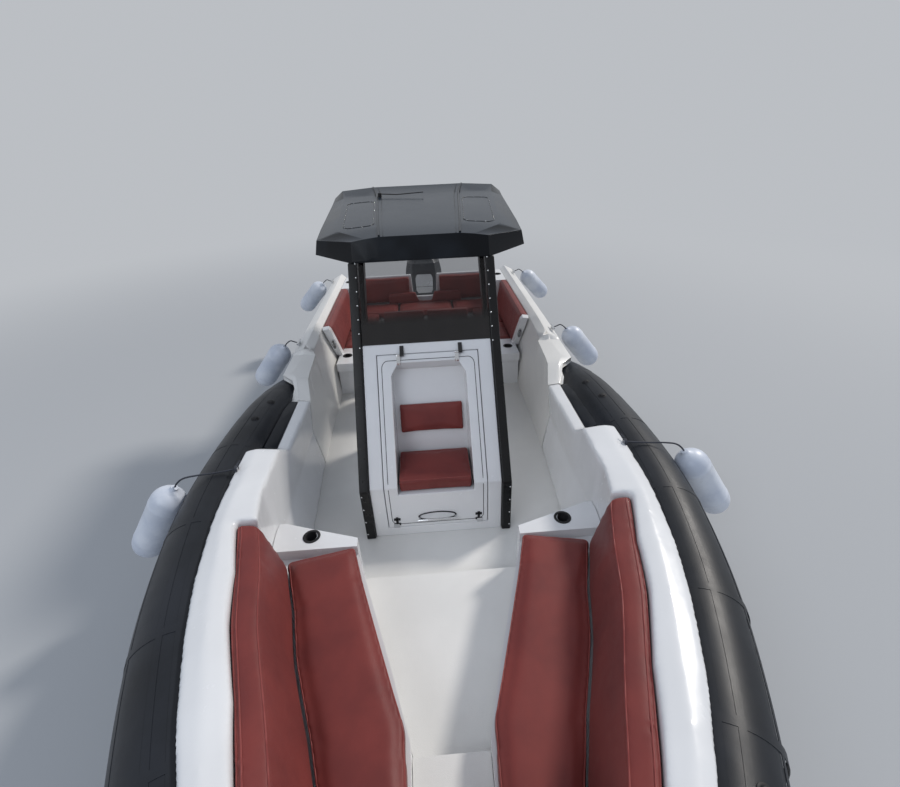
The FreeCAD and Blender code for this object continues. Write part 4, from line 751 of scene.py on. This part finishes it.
class Growth(Nodes):
    # A Geometry Nodes tree with named inputs

    def __init__(self, name, inputs):
        super().__init__(bpy.data.node_groups.new(name, "GeometryNodeTree"))
        for label, kind in {"Geometry": "Geometry", **inputs, "Material": "Material"}.items():
            self.tree.interface.new_socket(label, in_out="INPUT", socket_type="NodeSocket" + kind)
        self.tree.interface.new_socket("Geometry", in_out="OUTPUT", socket_type="NodeSocketGeometry")
        self.given = self.tree.nodes.new("NodeGroupInput").outputs

    def close(self, geometry):
        real = self.node("GeometryNodeRealizeInstances", {"Geometry": geometry})["Geometry"]
        done = self.node("GeometryNodeSetMaterial", {"Geometry": real, "Material": self.given["Material"]})
        end = self.tree.nodes.new("NodeGroupOutput")
        self.tree.links.new(done["Geometry"], end.inputs["Geometry"])

    def grow(self, mesh, values):
        # The tree's result as a plain mesh
        piece = newObject("growing", mesh)
        modifier = piece.modifiers.new("growth", "NODES")
        modifier.node_group = self.tree
        for item in self.tree.interface.items_tree:
            if item.in_out == "INPUT" and item.name in values:
                modifier[item.identifier] = values[item.name]
        result = evaluated(piece)
        piece.modifiers.remove(modifier)
        bpy.data.objects.remove(piece)
        return result


def tubeTree():
    # A flat-backed round swept along a line of points, as thick as each point's girth
    tree = Growth("inflatedTube", {"Half Angle": "Float", "Fineness": "Int"})
    line = tree.node("GeometryNodeMeshToCurve", {"Mesh": tree.given["Geometry"]})["Curve"]
    line = tree.node("GeometryNodeSetCurveNormal", {"Curve": line}, {"mode": "Z_UP"})["Curve"]
    girth = tree.node("GeometryNodeInputNamedAttribute", {"Name": "girth"}, {"data_type": "FLOAT"})["Attribute"]
    start, sweep = (tree.node("ShaderNodeMath", {0: tree.given["Half Angle"], 1: share}, {"operation": "MULTIPLY"})[0]
                    for share in (-1.0, 2.0))
    arc = tree.node("GeometryNodeCurveArc", {"Resolution": tree.given["Fineness"], "Radius": 1.0,
                                             "Start Angle": start, "Sweep Angle": sweep}, {"mode": "RADIUS"})["Curve"]
    arc = tree.node("GeometryNodeSetSplineCyclic", {"Geometry": arc, "Cyclic": True})["Geometry"]
    swept = tree.node("GeometryNodeCurveToMesh",
                      {"Curve": line, "Profile Curve": arc, "Scale": girth, "Fill Caps": True})
    tree.close(swept["Mesh"])
    return tree


def studTree():
    # Domes at equal steps along the edges of a mesh
    tree = Growth("studs", {"Spacing": "Float", "Radius": "Float", "Height": "Float", "Facing": "Vector"})
    line = tree.node("GeometryNodeMeshToCurve", {"Mesh": tree.given["Geometry"]})["Curve"]
    line = tree.node("GeometryNodeResampleCurve", {"Curve": line, "Length": tree.given["Spacing"]},
                     {"mode": "LENGTH"})["Curve"]
    dome = tree.node("GeometryNodeMeshUVSphere", {"Segments": 12, "Rings": 6, "Radius": 1.0})["Mesh"]
    size = tree.node("ShaderNodeCombineXYZ", {0: tree.given["Radius"], 1: tree.given["Radius"],
                                              2: tree.given["Height"]})[0]
    aim = tree.node("FunctionNodeAlignRotationToVector", {"Vector": tree.given["Facing"]}, {"axis": "Z"})["Rotation"]
    placed = tree.node("GeometryNodeInstanceOnPoints", {"Points": line, "Instance": dome, "Rotation": aim,
                                                        "Scale": size})
    tree.close(placed["Instances"])
    return tree


inflatedTube = tubeTree()
studs = studTree()


def addStuds(name, lines, facing, sizes):
    # Rows of steel studs along lines of points, all facing one way
    points = []
    links = []
    for line in lines:
        links += [(len(points) + i, len(points) + i + 1) for i in range(len(line) - 1)]
        points += [tuple(p) for p in line]
    mesh = bpy.data.meshes.new(name)
    mesh.from_pydata(points, links, [])
    addObject(name, studs.grow(mesh, {**sizes, "Facing": facing, "Material": steel}), steel)


def onTube(mark, angle, lift=0.0):
    # Point on the port tube: angle from straight outward, upward positive, in degrees
    row = spine.at(mark)
    forward = spine.ahead(mark)
    out = Vector((-forward.y, forward.x, 0)).normalized()
    a = radians(angle)
    radius = row[3] + lift
    return row.to_3d() + out * (radius * cos(a)) + Vector((0, 0, radius * sin(a)))


def tubeBody(side):
    rows = [spine.at(spine.length * i / tubes["rings"]) for i in range(tubes["rings"] + 1)]
    back = spine.ahead(0)
    points = [rows[0].to_3d() - back * reach for reach, share in tubes["tip"]] + [row.to_3d() for row in rows]
    girths = [rows[0][3] * share for reach, share in tubes["tip"]] + [row[3] for row in rows]
    mesh = bpy.data.meshes.new("tubeLine")
    mesh.from_pydata([(p.x, side * p.y, p.z) for p in points], [(i, i + 1) for i in range(len(points) - 1)], [])
    mesh.attributes.new("girth", "FLOAT", "POINT").data.foreach_set("value", girths)
    return inflatedTube.grow(mesh, {"Half Angle": acos(-tubes["flat"]), "Fineness": tubes["fineness"],
                                    "Material": fabric})


def patch(rows):
    # A grid of points
    width = len(rows[0])
    faces = [(i * width + j, i * width + j + 1, (i + 1) * width + j + 1, (i + 1) * width + j)
             for i in range(len(rows) - 1) for j in range(width - 1)]
    return [p for row in rows for p in row], faces


def tapeAlong(angle, width, start, height):
    # Welded tape along the tube, from a mark to the bow, with its edges sunk into the tube
    count = int((spine.length - start) / 0.07)
    section = [(-1.0, -0.002), (-0.97, height), (-0.5, height), (0, height), (0.5, height), (0.97, height),
               (1.0, -0.002)]
    rows = []
    for i in range(count + 1):
        mark = start + (spine.length - start) * i / count
        half = degrees(width / 2 / spine.at(mark)[3])
        rows.append([onTube(mark, angle + half * share, lift) for share, lift in section])
    return patch(rows)


def bandRound(mark):
    # Welded band round the tube
    count = 36
    low, high = tubes["bandAngles"]
    height = tubes["bandHeight"]
    section = [(-1.0, -0.002), (-0.94, height), (0, height), (0.94, height), (1.0, -0.002)]
    return patch([[onTube(mark + tubes["bandWidth"] / 2 * share, low + (high - low) * i / count, lift)
                   for share, lift in section] for i in range(count + 1)])


def valveAt(x, angle):
    # A ring with a cap, on the tube's skin
    mark = spine.markAt(x)
    base = onTube(mark, angle)
    return turnedAlong(tubes["valveProfile"], base, onTube(mark, angle, 0.1) - base, 24)


tapes = joined([tapeAlong(*tape) for tape in tubes["tapes"]] + [bandRound(spine.markAt(x)) for x in tubes["bands"]])
for node, side in (("tube_port", 1), ("tube_starboard", -1)):
    made = bmesh.new()
    made.from_mesh(tubeBody(side))
    made.from_mesh(meshOf(node + "Tapes", tapes if side > 0 else mirrored(tapes)))
    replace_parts(addObject(node + "_fabric", finished(made, node + "Fabric"), fabric, "boat", 50), node)
addPart("tube_valves", bothSides([valveAt(x, angle) for x, angle in tubes["valves"]]), trim, "boat", 40)
print("tubes made")


# Hardtop: raised ridges and the outlines of its side panels, laid on its own faces. Rows: x, then half width and
# height above the sole of the brow and of the ridge. The panel runs between two x and two shares of the way from
# brow to ridge, and its corners are cut off.
hardtop = {
    "rows": [(1.650, 0.880, 2.325, 0.520, 2.350), (1.950, 0.830, 2.275, 0.455, 2.290),
             (3.100, 0.735, 2.206, 0.378, 2.232), (3.450, 0.700, 2.185, 0.350, 2.212),
             (3.750, 0.440, 2.168, 0.326, 2.180)],
    "ridge": (1.665, 3.735), "ridgeRadius": 0.011, "inner": 1.10, "innerRadius": 0.004,
    "panel": (2.28, 3.40, 0.14, 0.90), "corner": (0.05, 0.12), "seamRadius": 0.0030,
    "screws": {"Spacing": 0.085, "Radius": 0.005, "Height": 0.003},
}


def onRoof(x, share, lift):
    # share runs from 0 at the brow to 1 at the ridge, and past 1 towards the centre plane
    for a, b in zip(hardtop["rows"], hardtop["rows"][1:]):
        if x <= b[0]:
            break
    t = (x - a[0]) / (b[0] - a[0])
    browY, browZ, ridgeY, ridgeZ = (p + (q - p) * t for p, q in zip(a[1:], b[1:]))
    up = min(share, 1)
    y = browY + (ridgeY - browY) * up if share <= 1 else ridgeY * (2 - share)
    return Vector((x, y, sole + browZ + (ridgeZ - browZ) * up + lift))


def roofLine(corners, lift, step=0.04):
    line = []
    for (x1, s1), (x2, s2) in zip(corners, corners[1:]):
        count = max(1, int(hypot(x2 - x1, (s2 - s1) * 0.35) / step))
        line += [(x1 + (x2 - x1) * i / count, s1 + (s2 - s1) * i / count) for i in range(count)]
    return [onRoof(x, share, lift) for x, share in line + corners[-1:]]


ridges = [relaxed(roofLine([(x, share) for x in hardtop["ridge"]], lift), False, 30)
          for share, lift in ((1.0, 0.002), (hardtop["inner"], 0.0))]
addPart("hardtop_ridges", bothSides([tubeAlong(ridges[0], hardtop["ridgeRadius"], 10, flatten=0.8),
                                     tubeAlong(ridges[1], hardtop["innerRadius"], 6)]), roofMaterial)
aft, fore, low, high = hardtop["panel"]
cutX, cutShare = hardtop["corner"]
panel = roofLine([(aft + cutX, low), (fore - cutX, low), (fore, low + cutShare), (fore, high - cutShare),
                  (fore - cutX, high), (aft + cutX, high), (aft, high - cutShare), (aft, low + cutShare),
                  (aft + cutX, low)], 0.0008)
addPart("hardtop_panel_seams", bothSides([tubeAlong(panel[:-1], hardtop["seamRadius"], 6, True)]), black)
screwLine = [p + Vector((0, 0, 0.001)) for p in panel]
addStuds("hardtop_panel_screws", [screwLine, across(screwLine)], (0, 0, 1), hardtop["screws"])

# Screws of the legs, beside the windscreen and above the feet: x and height above the sole of each row's ends
legScrews = {
    "leg_screws": {"ends": [(4.197, 1.42), (3.827, 1.996)], "y": 0.534, "facing": (0.842, 0, 0.540),
                   "sizes": {"Spacing": 0.105, "Radius": 0.007, "Height": 0.004}},
    "leg_foot_screws": {"ends": [(4.867, 0.06), (4.867, 0.46)], "y": 0.580, "facing": (1, 0, 0),
                        "sizes": {"Spacing": 0.10, "Radius": 0.007, "Height": 0.004}},
}
for name, row in legScrews.items():
    line = [Vector((x, row["y"], sole + z)) for x, z in row["ends"]]
    addStuds(name, [line, across(line)], row["facing"], row["sizes"])

# Loudspeakers: an oval grille of rings of holes, inside a rim, on the sloping end of each side backrest
speaker = {
    "centre": (2.2279, 1.166, 0.640), "out": (0.925, 0, -0.379), "up": (0.379, 0, 0.925),
    "rings": (0.2, 0.4, 0.6, 0.8), "grille": (0.073, 0.028), "grilleLift": 0.0104,
    "holes": {"Spacing": 0.011, "Radius": 0.0034, "Height": 0.0014},
    "rim": (0.074, 0.029), "rimLift": 0.009, "rimRadius": 0.0035,
}


def speakerOval(halves, lift, count, share=1.0):
    centre = Vector(speaker["centre"]) + Vector((0, 0, sole)) + Vector(speaker["out"]) * lift
    return [centre + Vector(speaker["up"]) * (halves[0] * share * cos(a))
            + Vector((0, halves[1] * share * sin(a), 0)) for a in circle(count)]


ovals = [speakerOval(speaker["grille"], speaker["grilleLift"], 32, share) for share in speaker["rings"]]
ovals = [oval + oval[:1] for oval in ovals]
addStuds("speaker_grilles", ovals + [across(oval) for oval in ovals], speaker["out"], speaker["holes"])
rim = speakerOval(speaker["rim"], speaker["rimLift"], 40)
addPart("speaker_rims", bothSides([tubeAlong(rim, speaker["rimRadius"], 8, True)]), white)

# Door: a moulded line round it, a ring under the handle, latches, and a black shell over the steel hinges as a
# painted dark reflection. The console's front stands upright up to the knee and leans back from there. Latch bars:
# low, high and half width. Heights are above the sole.
door = {
    "knee": (4.840, 0.500), "top": (4.170, 1.420),
    "line": {"half": 0.372, "low": 0.125, "high": 1.315, "corner": 0.05, "lift": -0.0005}, "lineRadius": 0.0028,
    "ring": {"y": -0.004, "z": 0.190, "half": (0.152, 0.042), "radius": 0.0048, "lift": 0.004},
    "latchY": 0.332, "latches": [(0.108, 0.200, 0.010), (0.116, 0.138, 0.027), (0.166, 0.190, 0.027)],
    "latchDepth": 0.006, "latchEdge": 0.002, "hingeShellLift": 0.0012,
}
doorLean = atan2(door["knee"][0] - door["top"][0], door["top"][1] - door["knee"][1])


def onDoor(y, up, lift):
    # Point on the console's front at a height above the sole
    above = up - door["knee"][1]
    out = Vector((cos(doorLean), 0, sin(doorLean))) if above > 0 else Vector((1, 0, 0))
    return Vector((door["knee"][0] - max(0.0, above) * tan(doorLean), y, sole + up)) + out * lift


def doorLoop(half, low, high, corner, lift):
    # A loop with round corners
    line = []
    for y, z, start in ((half - corner, low + corner, -90), (half - corner, high - corner, 0),
                        (corner - half, high - corner, 90), (corner - half, low + corner, 180)):
        turn = [radians(start + 15 * k) for k in range(7)]
        line += [Vector((y + corner * cos(a), z + corner * sin(a))) for a in turn]
    return [onDoor(p.x, p.y, lift) for p in resampled(line + line[:1], 0.05)[:-1]]


addPart("door_moulded_line", tubeAlong(doorLoop(**door["line"]), door["lineRadius"], 6, True), trim, "door")
ring = door["ring"]
oval = [onDoor(ring["half"][0] * cos(a) + ring["y"], ring["z"] + ring["half"][1] * sin(a), ring["lift"])
        for a in circle(40)]
addPart("door_handle_ring", tubeAlong(oval, ring["radius"], 8, True), trim, "door")
latches = []
for side in (1, -1):
    for low, high, half in door["latches"]:
        corners = [(-half, low), (half, low), (half, high), (-half, high)]
        latches.append(prism([onDoor(side * door["latchY"] + y, z, 0.0003) for y, z in corners],
                             (door["latchDepth"], 0, 0)))
addObject("door_latches", rounded(meshOf("doorLatches", joined(latches)), door["latchEdge"]), trim, "door", 40)
# A black shell just over the steel hinge leaves: a painted dark reflection on the hinges
made = cleaned("hinge_leaves")
made.normal_update()
for vertex, normal in [(v, v.normal.copy()) for v in made.verts]:
    vertex.co += normal * door["hingeShellLift"]
addObject("hinge_dark_reflection_shell", finished(made, "hingeDarkReflectionShell"), trim, "boat", 32)

# Motor: a light panel on the front of the cowl, by the port half of its outline, and a seam round the cowl
cowl = {
    "panel": [(0.120, 0.585), (0.150, 0.640), (0.155, 0.860), (0.120, 0.925)],
    "panelX": -0.642, "panelDepth": 0.007, "panelEdge": 0.006,
    "seam": [(-0.640, 0.2075), (-0.776, 0.3150), (-1.161, 0.3150), (-1.357, 0.1960)],
    "seamHeight": 0.700, "seamRadius": 0.006,
}
outline = [Vector((cowl["panelX"], y, z)) for y, z in cowl["panel"]]
outline += across(outline[::-1])
panel = meshOf("cowlPanel", prism(outline, (cowl["panelDepth"], 0, 0)))
addObject("cowl_front_panel", rounded(panel, cowl["panelEdge"], 3), motorLight, "outboard", 40)
seam = [Vector((x, y, cowl["seamHeight"])) for x, y in cowl["seam"]]
seam += across(seam[::-1])
addPart("cowl_seam", tubeAlong(resampled(seam + seam[:1], 0.04)[:-1], cowl["seamRadius"], 8, True), trim, "outboard")

# Rope knots on the deck's small pads: turns round the line's end and a short tail
knot = {"centre": (4.960, 1.3895, 1.141), "half": (0.020, 0.019), "width": 0.013, "turns": 2.5, "radius": 0.0055,
        "tail": [(4.925, 1.392, 1.156), (4.895, 1.380, 1.163)]}
x, y, z = knot["centre"]
shares = [k / 49 for k in range(50)]
turns = [Vector((x + knot["half"][0] * cos(2 * pi * knot["turns"] * t), y + knot["width"] * (t - 0.5),
                 z + knot["half"][1] * sin(2 * pi * knot["turns"] * t))) for t in shares]
tail = resampled(turns[-1:] + [Vector(p) for p in knot["tail"]], 0.01)
addPart("pad_knots", bothSides([tubeAlong(turns, knot["radius"]), tubeAlong(tail, knot["radius"])]), rope)
print("details made")


# Cushions, in metres. Each pad is remeshed at its voxel size, made smaller by its insets and inflated as cloth. No
# point moves further than the cap, or towards what the pad rests on. Piping is laid along the named edges.
downward, aftward = (0, 0, -1), (-1, 0, 0)
cushions = {
    "bow_cushions": {"voxel": 0.021, "cap": 0.024, "rest": downward, "piping": "levels"},
    "bow_backrests": {"voxel": 0.022, "cap": 0.014, "rest": downward, "piping": "upper"},
    "side_cushions": {"voxel": 0.020, "cap": 0.022, "rest": downward, "piping": "levels"},
    "side_backrests": {"voxel": 0.022, "cap": 0.012, "rest": downward, "piping": "upper"},
    "aft_cushion": {"voxel": 0.021, "cap": 0.022, "rest": downward, "piping": "levels"},
    "transom_backrests": {"voxel": 0.020, "cap": 0.018, "rest": aftward, "piping": "front"},
    "centre_backrest": {"voxel": 0.016, "cap": 0.012, "rest": aftward, "piping": "front"},
    "helm_seat_cushion": {"voxel": 0.018, "cap": 0.016, "rest": downward, "piping": "top"},
    "door_cushions": {"voxel": 0.013, "cap": 0.012, "rest": downward, "piping": "top", "body": "door",
                      "radius": 0.0035},
}
padding = {"topInset": 0.006, "sideInset": 0.005, "bowSideInset": 0.002, "inwardShare": 0.15, "fill": 0.8,
           "pressure": 4.0, "stiffness": 12, "bending": 0.6, "frames": 20, "pipingRadius": 0.0045}


def solidsOf(node):
    # Points and faces of the separate solids of a node, in order of x and then y
    made = cleaned(node)
    left = dict.fromkeys(made.verts)
    solids = []
    while left:
        stack = [left.popitem()[0]]
        group = {stack[0]: 0}
        while stack:
            for edge in stack.pop().link_edges:
                for other in edge.verts:
                    if other in left:
                        del left[other]
                        group[other] = len(group)
                        stack.append(other)
        points = [v.co.copy() for v in group]
        middle = tuple(round(c / len(points), 3) for c in sum(points, Vector()))
        faces = [[group[v] for v in face.verts] for face in made.faces if face.verts[0] in group]
        solids.append((middle, points, faces))
    made.free()
    return [solid[1:] for solid in sorted(solids, key=lambda solid: solid[0])]


def puffed(mesh, name, cap, rest):
    # Inflates a remeshed pad as cloth and limits how far each point goes
    start = [(v.co.copy(), v.normal.copy()) for v in mesh.vertices]
    piece = newObject(name, mesh)
    cloth = piece.modifiers.new("Cloth", "CLOTH")
    cloth.settings.use_pressure = True
    cloth.settings.uniform_pressure_force = padding["pressure"]
    cloth.settings.effector_weights.gravity = 0
    cloth.settings.quality = 4
    cloth.settings.tension_stiffness = cloth.settings.compression_stiffness = padding["stiffness"]
    cloth.settings.bending_stiffness = padding["bending"]
    cloth.point_cache.frame_start = 1
    cloth.point_cache.frame_end = padding["frames"]
    for number in range(1, padding["frames"] + 1):
        scene.frame_set(number)
    result = evaluated(piece)
    bpy.data.objects.remove(piece)
    scene.frame_set(1)
    toward = Vector(rest)
    for vertex, (before, normal) in zip(result.vertices, start):
        move = vertex.co - before
        move -= normal * min(0.0, move.dot(normal)) * (1 - padding["inwardShare"])
        if move.length > cap:
            move *= cap / move.length
        vertex.co = before + move - toward * max(0.0, move.dot(toward))
    return result


def softForm(points, faces, name, cushion):
    mesh = baked(meshOf(name, (points, faces)), ("REMESH", {"mode": "VOXEL", "voxel_size": cushion["voxel"],
                                                            "use_smooth_shade": True}))
    sideInset = padding["sideInset"]
    if name.startswith("bow_"):
        bend(mesh)
        sideInset = padding["bowSideInset"]
    for vertex, normal in zip(mesh.vertices, [v.normal.copy() for v in mesh.vertices]):
        vertex.co -= normal * (sideInset if abs(normal.z) < 0.5 else padding["topInset"])
    mesh = puffed(mesh, name, cushion["cap"], cushion["rest"])
    return baked(mesh, ("SMOOTH", {"factor": 0.5, "iterations": 2}), ("SUBSURF", {"levels": 1, "render_levels": 1}))


softForms = {}
for node, cushion in cushions.items():
    softForms[node] = []
    for index, (points, faces) in enumerate(solidsOf(node)):
        mesh = softForm(points, faces, "%s_%d" % (node, index + 1), cushion)
        pad = addObject("%s_pad_%d" % (node, index + 1), mesh, red, cushion.get("body", "boat"), 180)
        if index == 0:
            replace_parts(pad, node)
        softForms[node].append((pad, points, faces))
    print("cushions of", node)

# Piping, laid along hard edges of each pad's solid and pressed onto the pad's surface
pipedEdges = {
    "top": lambda a, b, low, high: min(a.z, b.z) > high.z - 0.006,
    "levels": lambda a, b, low, high: min(a.z, b.z) > high.z - 0.006 or max(a.z, b.z) < low.z + 0.004,
    "front": lambda a, b, low, high: min(a.x, b.x) > high.x - 0.006,
    "upper": lambda a, b, low, high: min(a.z, b.z) > 1.10,
}


def edgeChains(points, faces, wanted):
    # Lines of connected sharp edges that pass a test on their two ends
    made = bmesh.new()
    verts = [made.verts.new(p) for p in points]
    for face in faces:
        made.faces.new([verts[i] for i in face])
    made.normal_update()
    left = dict.fromkeys(e for e in made.edges if len(e.link_faces) == 2
                         and e.calc_face_angle() > radians(40) and wanted(e.verts[0].co, e.verts[1].co))
    chains = []
    while left:
        line = list(left.popitem()[0].verts)
        for turn in range(2):    # from one end and then from the other
            near = [e for e in line[-1].link_edges if e in left]
            while near:
                del left[near[0]]
                line.append(near[0].other_vert(line[-1]))
                near = [e for e in line[-1].link_edges if e in left]
            line.reverse()
        chains.append([v.co.copy() for v in line])
    made.free()
    return chains


for node, cushion in cushions.items():
    parts = []
    for pad, points, faces in softForms[node]:
        surface = BVHTree.FromPolygons([v.co.copy() for v in pad.data.vertices],
                                       [tuple(p.vertices) for p in pad.data.polygons])
        low, high = (Vector([end(p[i] for p in points) for i in range(3)]) for end in (min, max))
        for chain in edgeChains(points, faces, lambda a, b: pipedEdges[cushion["piping"]](a, b, low, high)):
            closed = (chain[0] - chain[-1]).length < 1e-5
            line = resampled(chain, 0.02)[:-1 if closed else None]
            line = relaxed([surface.find_nearest(p)[0] for p in relaxed(line, closed)], closed, 2)
            parts.append(tubeAlong(line, cushion.get("radius", padding["pipingRadius"]), 6, closed))
    if parts:
        addPart(node + "_piping", joined(parts), redWelt, cushion.get("body", "boat"))
print("piping laid")


# Fenders: round-ended, with a moulded neck and eye at each end. Each pair's head centre and direction, in metres,
# and the profile of the neck by distance along and radius.
fenders = {
    "places": [((5.038, 1.888, 0.952), (0.10, 0.55, -0.83)), ((2.808, 1.654, 1.050), (-0.20, 0.615, -0.762)),
               ((0.384, 1.6576, 1.059), (-0.32, 0.635, -0.70))],
    "radius": 0.120, "span": 0.380,
    "neck": [(-0.144, 0.020), (-0.142, 0.025), (-0.130, 0.026), (-0.122, 0.030), (-0.117, 0.040)],
    "ridge": [(0.02, 0), (0.026, 0.0025), (0.034, 0.0025), (0.040, 0)],
}
profile = list(fenders["neck"])
for angle in (radians(i * 7.5) for i in range(3, 13)):
    profile.append((-fenders["radius"] * cos(angle), fenders["radius"] * sin(angle)))
profile += [(along, fenders["radius"] + lift) for along, lift in fenders["ridge"]]
profile += [(fenders["span"] - along, radius) for along, radius in reversed(profile)]
bodies = bothSides([turnedAlong(profile, head, step) for head, step in fenders["places"]])
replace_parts(addPart("fenders_moulded", bodies, fenderMaterial), "fenders")
print("fenders made")


# Floor at the waterline, light and background. The floor fades to the plain colour round the boat's middle.
studio = {
    "plain": (0.50, 0.52, 0.55, 1), "floor": (0.46, 0.475, 0.49, 1), "floorHalf": 70,
    "middle": (3.5, 0, 0), "fade": (5.0, 15.0),
    "world": (0.80, 0.87, 1.0, 1), "worldStrength": 0.50,
    "lamps": {
        "key": {"place": (-17.0, 34.0, 34.0), "target": (4.0, 0, 0.6), "energy": 17000, "color": (1.0, 0.95, 0.89)},
        "fill": {"place": (15, -7, 11), "target": (4.5, 0, 0.5), "energy": 500, "color": (0.86, 0.92, 1.0)},
    },
    "lampSize": 8.0,
}


def mixedShader(nodes, share, first, second):
    return nodes.node("ShaderNodeMixShader", {0: share, 1: first, 2: second})[0]


def backdrop(nodes, lit, plain):
    # Shows one plain colour to the camera, also in metal and through glass
    path = nodes.node("ShaderNodeLightPath")
    seen = path["Is Camera Ray"]
    for name in ("Is Glossy Ray", "Is Transmission Ray"):
        seen = nodes.node("ShaderNodeMath", {0: seen, 1: path[name]}, {"operation": "MAXIMUM"})[0]
    return mixedShader(nodes, seen, lit, nodes.node(plain, {"Color": studio["plain"]})[0])


paint = Paint("paleFloor", "floor", {"Base Color": studio["floor"], "Roughness": 0.9, "Specular IOR Level": 0.1})
away = paint.node("ShaderNodeVectorMath", {0: paint.place, 1: studio["middle"]}, {"operation": "DISTANCE"})["Value"]
lit = paint.shader.outputs[0]
surface = mixedShader(paint, Tone(paint, away).smooth(*studio["fade"]), lit,
                      backdrop(paint, lit, "ShaderNodeEmission"))
paint.put(paint.tree.nodes["Material Output"].inputs["Surface"], surface)
half = studio["floorHalf"]
floorMesh = bpy.data.meshes.new("floor")
floorMesh.from_pydata([(-half, -half, 0), (half, -half, 0), (half, half, 0), (-half, half, 0)], [], [(0, 1, 2, 3)])
floorMesh.materials.append(paint.material)
newObject("floor", floorMesh)

for name, lamp in studio["lamps"].items():
    light = newObject(name, bpy.data.lights.new(name, "AREA"))
    light.data.shape = "DISK"
    light.data.size = studio["lampSize"]
    light.data.energy = lamp["energy"]
    light.data.color = lamp["color"]
    light.location = lamp["place"]
    aim = Vector(lamp["target"]) - Vector(lamp["place"])
    light.rotation_euler = aim.to_track_quat("-Z", "Y").to_euler()
world = bpy.data.worlds.new("studio")
world.use_nodes = True
light = world.node_tree.nodes["Background"]
light.inputs["Color"].default_value = studio["world"]
light.inputs["Strength"].default_value = studio["worldStrength"]
sky = Nodes(world.node_tree)
sky.put(world.node_tree.nodes["World Output"].inputs["Surface"],
        backdrop(sky, light.outputs[0], "ShaderNodeBackground"))
scene.world = world
scene.view_settings.view_transform = "Standard"

print("scene complete")
